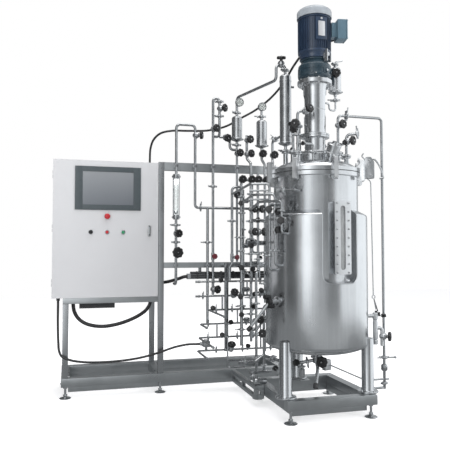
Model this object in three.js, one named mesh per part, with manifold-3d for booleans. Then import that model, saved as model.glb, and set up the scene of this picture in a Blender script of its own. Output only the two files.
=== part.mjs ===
// A stirred-tank bioreactor skid: a jacketed stainless vessel on three legs with a top-entry agitator,
// beside a base frame that carries a pipe rack and a control cabinet. Millimetres, +Z up.
// Inside this file X runs along the rack, Y runs back from it, and the rack's front left post stands on
// the origin; the exported group moves the whole skid so that its origin is under the middle of its box.
import * as THREE from "three";
import { mergeVertices } from "three/addons/utils/BufferGeometryUtils.js";
import Module from "manifold-3d";

const wasm = await Module();
wasm.setup();

// ---- Driving dimensions -------------------------------------------------------------------------
const seam = 0.3; // gap left between neighbouring pieces

// Base frames
const baseTop = 140;
const baseTube = 60; // height and width of the perimeter tube
const baseLip = 6; // base tube stands this far outside the posts
const plinthInset = 48;
const plinthWall = 12;
const plinthBottom = 37;
const footInset = 30;
const footRadius = 40;
const footDisc = 9;
const footStem = 8;

// Stand and pipe rack
const post = 40; // square tube
const standWidth = 666; // between post centres
const rackDepth = 450;
const standTop = 693;
const rackLength = 1610;
const rackTop = 1674;
const topBeam = 60;
const midBeamTop = 937;
const linkBar = 25;
const linkStandoff = 66; // from the link rails to the vessel's frame

// Cabinet
const cabinetWidth = standWidth + 72;
const cabinetHeight = 972;
const cabinetDepth = 270;
const cabinetSheet = 3;
const doorDepth = 20;
const doorGap = 3; // between the door's edge and the rack post beside it
const panelWidth = 461;
const panelHeight = 310;
const panelDepth = 8;
const panelFrame = 52;
const panelDrop = 43; // below the cabinet's top
const buttonRadius = 11;
const buttonSpacing = 113;
const buttonDrop = 510;
const stopDrop = 398;
const stopRadius = 20;
const collarRadius = 16;
const collarHeight = 5;

// Vessel
const vesselX = 1558;
const vesselY = -741;
const shellRadius = 269;
const shellWall = 4;
const jacketRadius = shellRadius + 56;
const jacketWall = 3;
const jacketBottom = 446;
const jacketTop = 1274;
const dishDepth = 74;
const shoulderDrop = 29;
const flangeRadius = shellRadius + 31;
const flangeTop = 1510;
const flangeThick = 25;
const gasketThick = 3;
const domeHeight = 72;
const padRadius = 110;
const padThick = 36;
const outletRadius = 24;
const outletDrop = 22;
const legCircle = jacketRadius - 7;
const legRadius = 38;
const legTop = 477;
const legPlate = 65;
const legAngles = [90, 210, 330];
const turnSides = 28; // facets round the vessel's turned pieces
const dishSteps = 3;
const frameSide = 20; // outer face of the vessel's frame beyond its front legs
const frameFront = 83;
const frameBack = 100;
const clampCount = 8;
const clampWidth = 30;

// Sight glass, on the side that faces the operator
const sightAngle = 274;
const sightBottom = jacketTop - 390;
const sightHeight = 435;
const sightWidth = 110;
const slotWidth = 33;
const slotMargin = 27;
const padReach = jacketRadius - 7;
const glassThick = 10;
const sightBolts = 9;
const sightBoltGauge = 78;

// Agitator drive, from the lid up
const sealRadius = 66;
const sealHeight = 122;
const lanternRadius = 78;
const lanternWall = 6;
const lanternHeight = 317;
const driveFlange = 112;
const driveFlangeThick = 47;
const gearRadius = 106;
const gearHeight = 139;
const motorNeck = 34;
const motorRadius = 108;
const motorHeight = 240;
const finCount = 12;
const finHeight = 7;
const cowlRadius = 114;
const cowlHeight = 68;
const shaftRadius = 20;
const impellerRadius = 88;
const impellerHeights = [560, 860];

// Pipework
const pipeOff = 40; // centre of the rack's pipes in front of its posts
const pipeRadius = 10;
const thinRadius = 6;
const ferruleRadius = 25;
const wheelRadius = 31;
const wheelHeight = 24;
const filterRadius = 39;
const dialRadius = 31;
const meterRadius = 20;

const up = vec(0, 0, 1);
const right = vec(1, 0, 0);
const left = vec(-1, 0, 0);
const front = vec(0, -1, 0);
const back = vec(0, 1, 0);
const down = vec(0, 0, -1);
const vesselAt = vec(vesselX, vesselY, 0);

// ---- Finishes -----------------------------------------------------------------------------------
const finish = (color, roughness, metalness) =>
  new THREE.MeshStandardMaterial({ color, roughness, metalness });
const steel = finish(0xb9bcc0, 0.28, 1);
const satin = finish(0x9a9ea3, 0.45, 1);
const greyPaint = finish(0xd3d5d3, 0.5, 0);
const bluePaint = finish(0x2d3f52, 0.45, 0.1);
const tealPaint = finish(0x3f5a66, 0.45, 0.1);
const blackPlastic = finish(0x17181a, 0.5, 0);
const redPlastic = finish(0xb3202a, 0.4, 0);
const greenPlastic = finish(0x1f8a4c, 0.4, 0);
const darkGlass = finish(0x6d7076, 0.15, 0);
const clearGlass = finish(0xcfe0dc, 0.05, 0);
const rubber = finish(0x202123, 0.8, 0);

// ---- Shapes -------------------------------------------------------------------------------------
function vec(x, y, z) {
  return new THREE.Vector3(x, y, z);
}

function polar(radius, degrees, z = 0) {
  const angle = THREE.MathUtils.degToRad(degrees);
  return vec(radius * Math.cos(angle), radius * Math.sin(angle), z);
}

// A closed geometry as a solid with its faces out.
function toSolid(geometry) {
  const loose = geometry.index ? geometry.toNonIndexed() : geometry;
  const bare = new THREE.BufferGeometry().setAttribute("position", loose.getAttribute("position"));
  const merged = mergeVertices(bare, 1e-3);
  const corners = merged.index.array;
  const faces = [];
  for (let i = 0; i < corners.length; i += 3) {
    const [a, b, c] = [corners[i], corners[i + 1], corners[i + 2]];
    if (a !== b && b !== c && c !== a) faces.push(a, b, c);
  }
  const build = (triVerts) =>
    new wasm.Manifold(
      new wasm.Mesh({ numProp: 3, vertProperties: merged.attributes.position.array, triVerts }),
    );
  const made = build(new Uint32Array(faces));
  return made.volume() < 0 ? build(new Uint32Array(faces).reverse()) : made;
}

const join = (...parts) => parts.flat(Infinity).reduce((a, b) => a.add(b));
const cut = (solid, ...tools) => tools.flat(Infinity).reduce((a, b) => a.subtract(b), solid);

function mesh(name, solid, material) {
  const { numProp, vertProperties, triVerts, numVert } = solid.getMesh();
  const points = new Float32Array(numVert * 3);
  for (let i = 0; i < numVert; i++)
    points.set(vertProperties.subarray(i * numProp, i * numProp + 3), i * 3);
  const geometry = new THREE.BufferGeometry()
    .setAttribute("position", new THREE.BufferAttribute(points, 3))
    .setIndex(new THREE.BufferAttribute(new Uint32Array(triVerts), 1));
  geometry.computeVertexNormals();
  const made = new THREE.Mesh(geometry, material);
  made.name = name;
  return made;
}

function block([x0, x1], [y0, y1], [z0, z1], turn = 0) {
  const geometry = new THREE.BoxGeometry(x1 - x0, y1 - y0, z1 - z0);
  geometry.translate((x0 + x1) / 2, (y0 + y1) / 2, (z0 + z1) / 2);
  return toSolid(geometry.rotateZ(THREE.MathUtils.degToRad(turn)));
}

// A round bar from one point to another, tapering to endRadius.
function bar(from, to, radius, sides = 10, endRadius = radius) {
  const length = from.distanceTo(to);
  const geometry = new THREE.CylinderGeometry(endRadius, radius, length, sides);
  geometry.translate(0, length / 2, 0);
  return toSolid(aim(geometry, from, to.clone().sub(from)));
}

// Stands a geometry made along +Y on a point, pointing along an axis.
function aim(geometry, at, axis) {
  const turn = new THREE.Quaternion().setFromUnitVectors(vec(0, 1, 0), axis.clone().normalize());
  return geometry.applyQuaternion(turn).translate(at.x, at.y, at.z);
}

// A closed profile of [radius, height] points turned about an axis.
function turned(profile, sides, at = vec(0, 0, 0), axis = up) {
  const outline = profile.map(([radius, height]) => new THREE.Vector2(radius, height));
  return toSolid(aim(new THREE.LatheGeometry(outline, sides), at, axis));
}

// Points along a dished end, from its rim to the given inner radius.
function dish(radius, depth, rimZ, innerRadius, steps = dishSteps) {
  const last = Math.asin(Math.min(1, innerRadius / radius));
  return Array.from({ length: steps + 1 }, (_, k) => {
    const angle = Math.PI / 2 + (last - Math.PI / 2) * (k / steps);
    return [radius * Math.sin(angle), rimZ + depth * Math.cos(angle)];
  });
}

// A route that an extruded section follows point by point.
class Route extends THREE.Curve {
  constructor(points) {
    super();
    this.points = points;
  }

  getPointAt(u, target = vec(0, 0, 0)) {
    const place = u * (this.points.length - 1);
    const k = Math.min(Math.floor(place + 1e-6), this.points.length - 2);
    return target.lerpVectors(this.points[k], this.points[k + 1], place - k);
  }

  getTangentAt(u, target = vec(0, 0, 0)) {
    const k = Math.round(u * (this.points.length - 1));
    const step = (a, b) => this.points[b].clone().sub(this.points[a]).normalize();
    const before = step(Math.max(k - 1, 0), Math.max(k, 1));
    const after = step(Math.min(k, this.points.length - 2), Math.min(k + 1, this.points.length - 1));
    return target.copy(before.add(after).normalize());
  }
}

// The corners of a route, each one rounded by an arc of bend radius.
function rounded(corners, bend, arcStep = 90) {
  const route = [corners[0].clone()];
  for (let k = 1; k < corners.length - 1; k++) {
    const into = corners[k].clone().sub(corners[k - 1]).normalize();
    const out = corners[k + 1].clone().sub(corners[k]).normalize();
    const angle = into.angleTo(out);
    if (angle < 0.02) continue;
    const reach = bend * Math.tan(angle / 2);
    const side = out.clone().addScaledVector(into, -into.dot(out)).normalize();
    const centre = corners[k].clone().addScaledVector(into, -reach).addScaledVector(side, bend);
    const steps = Math.max(1, Math.round(THREE.MathUtils.radToDeg(angle) / arcStep));
    for (let s = 0; s <= steps; s++) {
      const turn = (angle * s) / steps;
      route.push(
        centre
          .clone()
          .addScaledVector(side, -bend * Math.cos(turn))
          .addScaledVector(into, bend * Math.sin(turn)),
      );
    }
  }
  route.push(corners.at(-1).clone());
  return route;
}

function sweep(points, radius, sides) {
  const corners = Array.from({ length: sides }, (_, k) => {
    const { x, y } = polar(radius, (k * 360) / sides);
    return new THREE.Vector2(x, y);
  });
  const options = {
    steps: points.length - 1,
    bevelEnabled: false,
    extrudePath: new Route(points),
  };
  return toSolid(new THREE.ExtrudeGeometry(new THREE.Shape(corners), options));
}

function pipe(corners, radius = pipeRadius, { bend = 3 * radius, sides = 6 } = {}) {
  return sweep(rounded(corners, bend), radius, sides);
}

// ---- Pipe fittings ------------------------------------------------------------------------------
// Two ferrules held by a clamp band, tapering to the pipe on both sides.
function clampJoint(at, axis = up, radius = ferruleRadius) {
  return turned([[0, -8], [radius, -1], [radius, 1], [0, 8]], 6, at, axis);
}

// A membrane valve's body and bonnet: the flow runs along the pipe, the stem stands out sideways.
function membraneValve(at, flow, stem, length = 56) {
  const half = flow.clone().multiplyScalar(length / 2);
  const body = bar(at.clone().sub(half), at.clone().add(half), 16, 6);
  const bonnet = bar(at, at.clone().addScaledVector(stem, wheelStart - 8), 21, 8);
  const spindle = bar(at, at.clone().addScaledVector(stem, spindleReach), spindleRadius, 6);
  return join(body, bonnet, spindle);
}
const spindleReach = 62;
const spindleRadius = 6;
const wheelStart = 34;

// A loose handwheel that turns on its valve's spindle, measured from the valve's centre.
function handwheel(name, at, stem, radius = wheelRadius) {
  const bore = spindleRadius + seam;
  const profile = [
    [bore, wheelStart],
    [radius * 0.88, wheelStart],
    [radius, wheelStart + wheelHeight * 0.45],
    [radius * 0.84, wheelStart + wheelHeight],
    [bore, wheelStart + wheelHeight],
    [bore, wheelStart],
  ];
  return mesh(name, turned(profile, 12, at, stem), blackPlastic);
}

// A small valve on a pipe, its bonnet and handwheel one with it.
function wheeledValve(at, stem) {
  const profile = [
    [0, 5],
    [14, wheelStart - 8],
    [wheelRadius, wheelStart],
    [wheelRadius, wheelStart + wheelHeight],
    [0, wheelStart + wheelHeight],
  ];
  return turned(profile, 6, at, stem);
}

// A round dial on a short stem, facing the operator.
function gauge(at, stemTo, radius = dialRadius, facing = front) {
  const depth = facing.clone().multiplyScalar(13);
  const dial = bar(at.clone().sub(depth), at.clone().add(depth), radius, 10);
  return join(dial, bar(at, stemTo, 6, 6));
}

// A filter housing: a bottom ferrule, a domed body and a top port.
function filterHousing(at, height, radius = filterRadius) {
  const dome = radius * 0.55;
  return join(
    turned(
      [
        [0, 0],
        [pipeRadius, 0],
        [pipeRadius, 12],
        [radius * 1.12, 26],
        [radius * 1.12, 36],
        [radius, 42],
        [radius, height - dome],
        [pipeRadius, height],
        [pipeRadius, height + 14],
        [0, height + 14],
      ],
      12,
      at,
    ),
  );
}

// ---- Base frames --------------------------------------------------------------------------------
// A perimeter of square tube over an inset plinth, standing on levelling feet.
function baseFrame([x0, x1], [y0, y1], feetX) {
  const ring = (inset, width, z0, z1) =>
    cut(
      block([x0 + inset, x1 - inset], [y0 + inset, y1 - inset], [z0, z1]),
      block(
        [x0 + inset + width, x1 - inset - width],
        [y0 + inset + width, y1 - inset - width],
        [z0 - 1, z1 + 1],
      ),
    );
  const tubeBottom = baseTop - baseTube;
  const feet = feetX.flatMap((x) => [y0 + footInset, y1 - footInset].map((y) => foot(x, y, tubeBottom)));
  return join(
    ring(0, baseTube, tubeBottom, baseTop),
    ring(plinthInset, plinthWall, plinthBottom, tubeBottom + 1),
    feet,
  );
}

// A levelling foot: a dished disc on a threaded stem.
function foot(x, y, topZ) {
  const profile = [
    [0, 0],
    [footRadius, 0],
    [footRadius, footDisc * 0.6],
    [footStem, footDisc * 1.7],
    [footStem, topZ + 1],
    [0, topZ + 1],
  ];
  return turned(profile, 8, vec(x, y, 0));
}

const rackX = [-post / 2 - baseLip, rackLength + post / 2 + baseLip];
const rackY = [-post / 2 - baseLip, rackDepth + post / 2 + baseLip];

function rackBaseFrame() {
  const cross = (x) =>
    block([x - baseTube / 2, x + baseTube / 2], [rackY[0] + 1, rackY[1] - 1], [baseTop - baseTube, baseTop]);
  const feetX = [rackX[0] + footInset, standWidth, rackX[1] - footInset];
  return join(baseFrame(rackX, rackY, feetX), cross(standWidth));
}

const legX = legCircle * Math.cos(Math.PI / 6);
const legY = legCircle * Math.sin(Math.PI / 6);
const frameX = [-legX - frameSide, legX + frameSide];
const frameY = [-legY - frameFront, legCircle + frameBack];

// The vessel's own base frame, with a stub under its back leg.
function vesselBaseFrame() {
  const stub = block(
    [-legPlate, legPlate],
    [legCircle - legPlate, frameY[1] - baseTube + 1],
    [baseTop - baseTube, baseTop],
  );
  return join(baseFrame(frameX, frameY, [frameX[0] + footInset, frameX[1] - footInset]), stub);
}

// Two thin rails that tie the rack's base to the vessel's.
function linkRails() {
  const nearEnd = rackY[0] - seam;
  const farEnd = linkEndY;
  const frameFace = vesselX + frameX[0] - seam;
  const x = frameFace - linkStandoff;
  const level = (z) => [
    block([x, x + linkBar], [farEnd, nearEnd], [z, z + linkBar]),
    block([x, frameFace], [farEnd, farEnd + linkBar], [z, z + linkBar]),
  ];
  const upper = baseTop - linkBar;
  const lower = baseTop - baseTube - linkBar;
  const strut = (y) => block([x, x + linkBar], [y, y + linkBar], [lower + 1, upper + 1]);
  const middle = (nearEnd + farEnd) / 2;
  const seat = block([frameFace - linkBar, frameFace], [farEnd, farEnd + linkBar], [lower + 1, upper + 1]);
  return join(level(upper), level(lower), strut(farEnd), strut(middle), strut(nearEnd - linkBar), seat);
}
const linkEndY = vesselY + 170;

// ---- Cabinet stand and pipe rack ----------------------------------------------------------------
const postAt = (x, y, top, bottom = baseTop + seam) =>
  block([x - post / 2, x + post / 2], [y - post / 2, y + post / 2], [bottom, top]);

function cabinetStand() {
  const half = post / 2;
  const ringZ = [standTop - post, standTop];
  const reach = standWidth - half - seam;
  return join(
    postAt(0, 0, standTop),
    postAt(0, rackDepth, standTop),
    postAt(standWidth, rackDepth, standTop),
    block([-half, reach], [-half, half], ringZ),
    block([-half, standWidth], [rackDepth - half, rackDepth + half], ringZ),
    block([-half, half], [0, rackDepth], ringZ),
    block([standWidth - half, standWidth + half], [half + seam, rackDepth], ringZ),
  );
}

function pipeRack() {
  const half = post / 2;
  const beam = (top, height) => block([standWidth, rackLength], [-half, half], [top - height, top]);
  return join(
    postAt(standWidth, 0, rackTop),
    postAt(rackLength, 0, rackTop),
    beam(rackTop, topBeam),
    beam(midBeamTop, post),
  );
}

// ---- Control cabinet ----------------------------------------------------------------------------
const cabinetRight = standWidth - post / 2 - doorGap;
const cabinetLeft = cabinetRight - cabinetWidth;
const cabinetBottom = standTop + seam;
const cabinetTop = cabinetBottom + cabinetHeight;
const cabinetFront = 0; // the door's back face meets the shell here
const doorFront = cabinetFront - doorDepth;
const panelX = [cabinetLeft + 148, cabinetLeft + 148 + panelWidth];
const panelZ = [cabinetTop - panelDrop - panelHeight, cabinetTop - panelDrop];
const buttonX = (cabinetLeft + cabinetRight) / 2 + 3;
const buttonZ = cabinetTop - buttonDrop;
const stopZ = cabinetTop - stopDrop;
const lockX = cabinetRight - 66;
const lockZ = cabinetTop - 489;

// The cabinet's cable glands: the middle of each on its wall, the way it faces and its cable's radius.
const glandReach = 24;
const glandSides = 8;
const glandY = cabinetFront + 62;
const glandInset = 43;
const glandAt = {
  motor: { at: vec(cabinetRight - glandInset, glandY + 68, cabinetTop), axis: up, radius: 8 },
  hanging: { at: vec(cabinetRight - glandInset, glandY, cabinetBottom), axis: down, radius: 13 },
  hangingEnd: { at: vec(post / 2 + 32, glandY, cabinetBottom), axis: down, radius: 13 },
  instrument: { at: vec(-post / 2 - 32, glandY, cabinetBottom), axis: down, radius: 8 },
  tray: { at: vec(cabinetRight, glandY + 48, cabinetBottom + 92), axis: right, radius: 12 },
};

function cabinetShell() {
  const inside = cabinetSheet;
  const shell = block(
    [cabinetLeft, cabinetRight],
    [cabinetFront + seam, cabinetFront + cabinetDepth],
    [cabinetBottom, cabinetTop],
  );
  const room = block(
    [cabinetLeft + inside, cabinetRight - inside],
    [cabinetFront - 1, cabinetFront + cabinetDepth - inside],
    [cabinetBottom + inside, cabinetTop - inside],
  );
  const lip = 18; // folded rim that the door's seal closes on
  const rim = cut(
    block(
      [cabinetLeft + 1, cabinetRight - 1],
      [cabinetFront + seam, cabinetFront + seam + 2],
      [cabinetBottom + 1, cabinetTop - 1],
    ),
    block(
      [cabinetLeft + lip, cabinetRight - lip],
      [cabinetFront - 1, cabinetFront + 4],
      [cabinetBottom + lip, cabinetTop - lip],
    ),
  );
  const glands = Object.values(glandAt).map(({ at, axis, radius }) => gland(at, axis, radius));
  return join(cut(shell, room), rim, glands);
}

// A cable gland on a wall: a ring that a cable's end sits in.
function gland(at, axis, radius) {
  const bore = (radius + 2 * seam) / Math.cos(Math.PI / glandSides);
  const nut = bar(at.clone().addScaledVector(axis, -1), at.clone().addScaledVector(axis, glandReach), bore + 5, glandSides);
  const hole = bar(at.clone().addScaledVector(axis, 1), at.clone().addScaledVector(axis, glandReach + 1), bore, glandSides);
  return cut(nut, hole);
}

// The plate inside the cabinet with its drives, breakers, relays and terminals on rails.
function mountingPlate() {
  const y = cabinetFront + cabinetDepth - cabinetSheet - seam;
  const face = y - 6;
  const x0 = cabinetLeft + 45;
  const x1 = cabinetRight - 45;
  const plate = block([x0, x1], [face, y], [cabinetBottom + 45, cabinetTop - 45]);
  const rows = [0.78, 0.55, 0.34, 0.16].map((share) => cabinetBottom + cabinetHeight * share);
  const row = (z, count, height, depth, fill) => {
    const pitch = (x1 - x0 - 60) / count;
    const rail = block([x0 + 20, x1 - 20], [face - 8, face + 1], [z - 17, z + 17]);
    const units = Array.from({ length: count }, (_, k) =>
      block(
        [x0 + 30 + k * pitch, x0 + 30 + (k + fill) * pitch],
        [face - depth, face - 7],
        [z - height / 2, z + height / 2],
      ),
    );
    return [rail, ...units];
  };
  return join(
    plate,
    row(rows[0], 2, 190, 120, 0.86),
    row(rows[1], 3, 120, 90, 0.9),
    row(rows[2], 5, 90, 70, 0.88),
    row(rows[3], 4, 60, 50, 0.8),
  );
}

function cabinetDoor() {
  const skin = cabinetSheet;
  const outer = block([cabinetLeft, cabinetRight], [doorFront, cabinetFront], [cabinetBottom, cabinetTop]);
  const hollow = block(
    [cabinetLeft + skin, cabinetRight - skin],
    [doorFront + skin, cabinetFront + 1],
    [cabinetBottom + skin, cabinetTop - skin],
  );
  const window = block(
    [panelX[0] + 12, panelX[1] - 12],
    [doorFront - 1, doorFront + skin + 1],
    [panelZ[0] + 12, panelZ[1] - 12],
  );
  const controls = [
    [buttonX, stopZ],
    [buttonX - buttonSpacing, buttonZ],
    [buttonX, buttonZ],
    [buttonX + buttonSpacing, buttonZ],
    [lockX, lockZ],
  ];
  const collars = controls.map(([x, z]) =>
    bar(vec(x, doorFront + 1, z), vec(x, doorFront - collarHeight, z), collarRadius, 12),
  );
  const holes = controls.map(([x, z]) =>
    bar(vec(x, cabinetFront, z), vec(x, doorFront - collarHeight - 1, z), buttonRadius + 2 * seam, 12),
  );
  return cut(join(cut(outer, hollow), collars), window, holes);
}

// The operator panel's moulded frame and the housing behind it.
function panelHousing() {
  const bezel = cut(
    block(panelX, [doorFront - panelDepth, doorFront - seam], panelZ),
    block(
      [panelX[0] + panelFrame, panelX[1] - panelFrame],
      [doorFront - panelDepth - 1, doorFront - panelDepth + 5],
      [panelZ[0] + panelFrame * 0.7, panelZ[1] - panelFrame * 0.7],
    ),
  );
  const body = block(
    [panelX[0] + 13, panelX[1] - 13],
    [doorFront - 2, doorFront + 48],
    [panelZ[0] + 13, panelZ[1] - 13],
  );
  return join(bezel, body);
}

const panelScreen = () =>
  block(
    [panelX[0] + panelFrame + seam, panelX[1] - panelFrame - seam],
    [doorFront - panelDepth + 2, doorFront - panelDepth + 5 - seam],
    [panelZ[0] + panelFrame * 0.7 + seam, panelZ[1] - panelFrame * 0.7 - seam],
  );

// A button's cap and stem, standing proud of its collar.
function plunger(x, z, proud, stem = buttonRadius) {
  const face = doorFront - collarHeight - proud;
  return turned(
    [
      [0, 0],
      [stem, 0],
      [stem, 18 + collarHeight],
      [stem * 0.85, proud + 20 + collarHeight],
      [0, proud + 20 + collarHeight],
    ],
    14,
    vec(x, face + proud + 20 + collarHeight, z),
    front,
  );
}

function emergencyStop() {
  const rest = doorFront - collarHeight - 9; // travel left under the cap
  return join(
    bar(vec(buttonX, doorFront + 15, stopZ), vec(buttonX, rest, stopZ), buttonRadius, 12),
    turned(
      [
        [0, 0],
        [stopRadius, 0],
        [stopRadius, 8],
        [stopRadius * 0.6, 14],
        [0, 15],
      ],
      18,
      vec(buttonX, rest + 1, stopZ),
      front,
    ),
  );
}

function selectorKnob() {
  const x = buttonX - buttonSpacing;
  const face = doorFront - collarHeight - seam;
  return join(
    bar(vec(x, doorFront + 15, buttonZ), vec(x, face - 5, buttonZ), buttonRadius, 12),
    bar(vec(x, face, buttonZ), vec(x, face - 6, buttonZ), 14, 14),
    block([x - 4, x + 4], [face - 18, face - 5], [buttonZ - 13, buttonZ + 13]),
  );
}

function lockHandle() {
  const face = doorFront - collarHeight - seam;
  return join(
    bar(vec(lockX, doorFront + 15, lockZ), vec(lockX, face - 1, lockZ), buttonRadius, 12),
    block([lockX - 10, lockX + 10], [face - 14, face], [lockZ - 50, lockZ + 30]),
    block([lockX - 2, lockX + 40], [doorFront + 10, doorFront + 15], [lockZ - 8, lockZ + 8]),
  );
}

// ---- Vessel, in its own frame -------------------------------------------------------------------
const dishBottom = jacketBottom - dishDepth;
const outletEnd = dishBottom - outletDrop;
const headBottom = flangeTop + gasketThick + 2 * seam;
const headTop = headBottom + flangeThick;
const padBottom = headTop + domeHeight - 2;
const padTop = padBottom + padThick;
const slotZ = [sightBottom + slotMargin, sightBottom + sightHeight - slotMargin];
const facing = sightAngle + 90; // turn of a block built towards -Y

function vesselShell() {
  const inner = shellRadius - shellWall;
  const rim = jacketBottom + 45;
  const outside = dish(shellRadius, -dishDepth, rim, outletRadius);
  const inside = dish(inner, shellWall - dishDepth, rim, outletRadius - 5);
  const body = turned(
    [
      [flangeRadius, flangeTop],
      [flangeRadius, flangeTop - flangeThick],
      [shellRadius, flangeTop - flangeThick],
      ...outside,
      [outletRadius, outletEnd],
      [outletRadius - 5, outletEnd],
      ...inside.reverse(),
      [inner, flangeTop],
      [flangeRadius, flangeTop],
    ],
    turnSides,
  );
  const half = sightWidth / 2;
  const pad = cut(
    block([-half, half], [-padReach, -(shellRadius - 20)], [sightBottom, sightBottom + sightHeight], facing),
    turned([[0, 0], [inner, 0], [inner, flangeTop], [0, flangeTop]], turnSides),
  );
  const slot = block([-slotWidth / 2, slotWidth / 2], [-padReach - 1, -200], slotZ, facing);
  return cut(join(body, pad), slot);
}

// A flared opening in the jacket around the sight glass, as an upright prism that reaches outwards.
function pocket(grow) {
  const bottom = sightBottom - 54;
  const narrow = sightWidth * 0.64;
  const shape = new THREE.Shape();
  shape.moveTo(-sightWidth - grow, bottom - grow);
  shape.lineTo(sightWidth + grow, bottom - grow);
  shape.lineTo(narrow + grow, sightBottom + 120);
  shape.lineTo(narrow + grow, jacketTop + 20);
  shape.lineTo(-narrow - grow, jacketTop + 20);
  shape.lineTo(-narrow - grow, sightBottom + 120);
  const geometry = new THREE.ExtrudeGeometry(shape, { depth: 200, bevelEnabled: false });
  geometry.rotateX(Math.PI / 2).translate(0, -200, 0);
  return toSolid(geometry.rotateZ(THREE.MathUtils.degToRad(facing)));
}

// The jacket's round wall with a gap around it, to fit what is seated on it.
const jacketSkin = (at = vec(0, 0, 0)) => {
  const radius = jacketRadius + seam;
  const [low, high] = [jacketBottom + 10, jacketTop - shoulderDrop];
  return turned([[0, low], [radius, low], [radius, high], [0, high]], turnSides, at);
};

// The jacket, open around the sight glass, with its three legs welded to it.
function jacket() {
  const clear = shellRadius + seam;
  const hole = outletRadius + 2 * seam;
  const thin = jacketRadius - jacketWall;
  const shoulder = jacketTop - shoulderDrop;
  const outside = dish(jacketRadius, -dishDepth, jacketBottom, hole);
  const shell = turned(
    [
      [clear, jacketTop],
      [jacketRadius, shoulder],
      ...outside,
      ...dish(thin, jacketWall - dishDepth, jacketBottom, hole).reverse(),
      [thin, shoulder - 1.5],
      [clear, jacketTop - jacketWall],
      [clear, jacketTop],
    ],
    turnSides,
  );
  const ring = turned(
    [
      [clear, sightBottom - 70],
      [jacketRadius - 1, sightBottom - 70],
      [jacketRadius - 1, shoulder],
      [clear, jacketTop - 1],
      [clear, sightBottom - 70],
    ],
    turnSides,
  );
  const inside = turned(
    [[0, shoulder], [jacketRadius - 1, shoulder], ...outside.map(([r, z]) => [r - 1, z + 1]), [0, outside.at(-1)[1] + 1]],
    turnSides,
  );
  const walls = ring.intersect(pocket(jacketWall));
  const legs = legAngles.map((degrees) => cut(leg(degrees), inside));
  return join(cut(join(shell, walls), pocket(0)), legs);
}

function leg(degrees) {
  const bottom = baseTop + seam;
  const profile = [
    [0, bottom],
    [legPlate, bottom],
    [legPlate, bottom + 10],
    [legRadius, bottom + 10],
    [legRadius, legTop],
    [0, legTop],
  ];
  return turned(profile, 12, polar(legCircle, degrees));
}

const sightGap = padReach + seam;
function sightPane() {
  const half = slotWidth / 2 + 14;
  return block([-half, half], [-sightGap - glassThick, -sightGap], [slotZ[0] - 14, slotZ[1] + 14], facing);
}

function sightFrame() {
  const half = sightWidth / 2;
  const paneHalf = slotWidth / 2 + 14 + seam;
  const frontFace = sightGap + glassThick + seam + 8;
  const bolts = Array.from({ length: sightBolts }, (_, k) => {
    const z = sightBottom + 11 + (k * (sightHeight - 22)) / (sightBolts - 1);
    return [-1, 1].map((side) => {
      const x = (side * sightBoltGauge) / 2;
      return bar(vec(x, -frontFace + 1, z), vec(x, -frontFace - 9, z), 8, 6).rotate([0, 0, facing]);
    });
  });
  const plate = block([-half, half], [-frontFace, -sightGap], [sightBottom, sightBottom + sightHeight], facing);
  const seat = block(
    [-paneHalf, paneHalf],
    [-sightGap - glassThick - seam, -sightGap + 1],
    [slotZ[0] - 14 - seam, slotZ[1] + 14 + seam],
    facing,
  );
  const slot = block([-slotWidth / 2, slotWidth / 2], [-frontFace - 20, -200], slotZ, facing);
  return cut(join(plate, bolts), seat, slot);
}

// Ports on the lid: direction and distance from the middle, height above the lid's flange, radius.
const lidPorts = {
  charge: { degrees: 212, reach: shellRadius - 74, height: 95, radius: 19 },
  spray: { degrees: 176, reach: shellRadius - 119, height: 120, radius: 16 },
  vent: { degrees: 126.5, reach: shellRadius - 44, height: 150, radius: 16 },
  feed: { degrees: 8, reach: shellRadius - 89, height: 125, radius: 16 },
  inoculum: { degrees: 345, reach: shellRadius - 64, height: 95, radius: 16 },
};
const sightPort = { degrees: 283, reach: shellRadius - 144, length: 120, radius: 40 };

// The middle of a port's face, in the skid's frame, with the gap to the pipe that stands on it.
function lidPort(name) {
  const { reach, degrees, height } = lidPorts[name];
  return polar(reach, degrees, headTop + height + seam).add(vesselAt);
}

function headPlate() {
  const domeFoot = shellRadius - 7;
  const bore = shaftRadius + 8;
  const wall = 6;
  const body = turned(
    [
      [flangeRadius, headBottom],
      [flangeRadius, headTop],
      [domeFoot, headTop],
      ...dish(domeFoot, domeHeight, headTop, padRadius).slice(1),
      [padRadius, padTop],
      [bore, padTop],
      [bore, padBottom - 8],
      ...dish(domeFoot - wall, domeHeight - wall, headTop - 4, bore + 30, 2).reverse(),
      [domeFoot - wall, headBottom],
      [flangeRadius, headBottom],
    ],
    turnSides,
  );
  const inside = turned(
    [
      [0, headBottom - 5],
      [domeFoot - wall + 1, headBottom - 5],
      ...dish(domeFoot - wall + 1, domeHeight - wall + 1, headTop - 4, bore + 30, 2),
      [0, padBottom - 7],
    ],
    turnSides,
  );
  const ports = Object.values(lidPorts).map(({ degrees, reach, height, radius }) => {
    const foot = polar(reach, degrees, headTop);
    const top = polar(reach, degrees, headTop + height);
    return join(bar(foot, top, radius, 8), bar(top.clone().setZ(top.z - 10), top, radius * 1.75, 8));
  });
  const portFoot = polar(sightPort.reach, sightPort.degrees, headTop);
  const lean = polar(0.5, sightPort.degrees, 1).normalize();
  const portTop = portFoot.clone().addScaledVector(lean, sightPort.length);
  const port = join(
    bar(portFoot, portTop, sightPort.radius * 0.8, 12),
    bar(portTop.clone().addScaledVector(lean, -26), portTop, sightPort.radius, 12),
  );
  const clamps = Array.from({ length: clampCount }, (_, k) => lidClamp(222.9 + (k * 360) / clampCount));
  return join(body, cut(join(ports, port), inside), clamps, lidArm());
}

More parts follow.
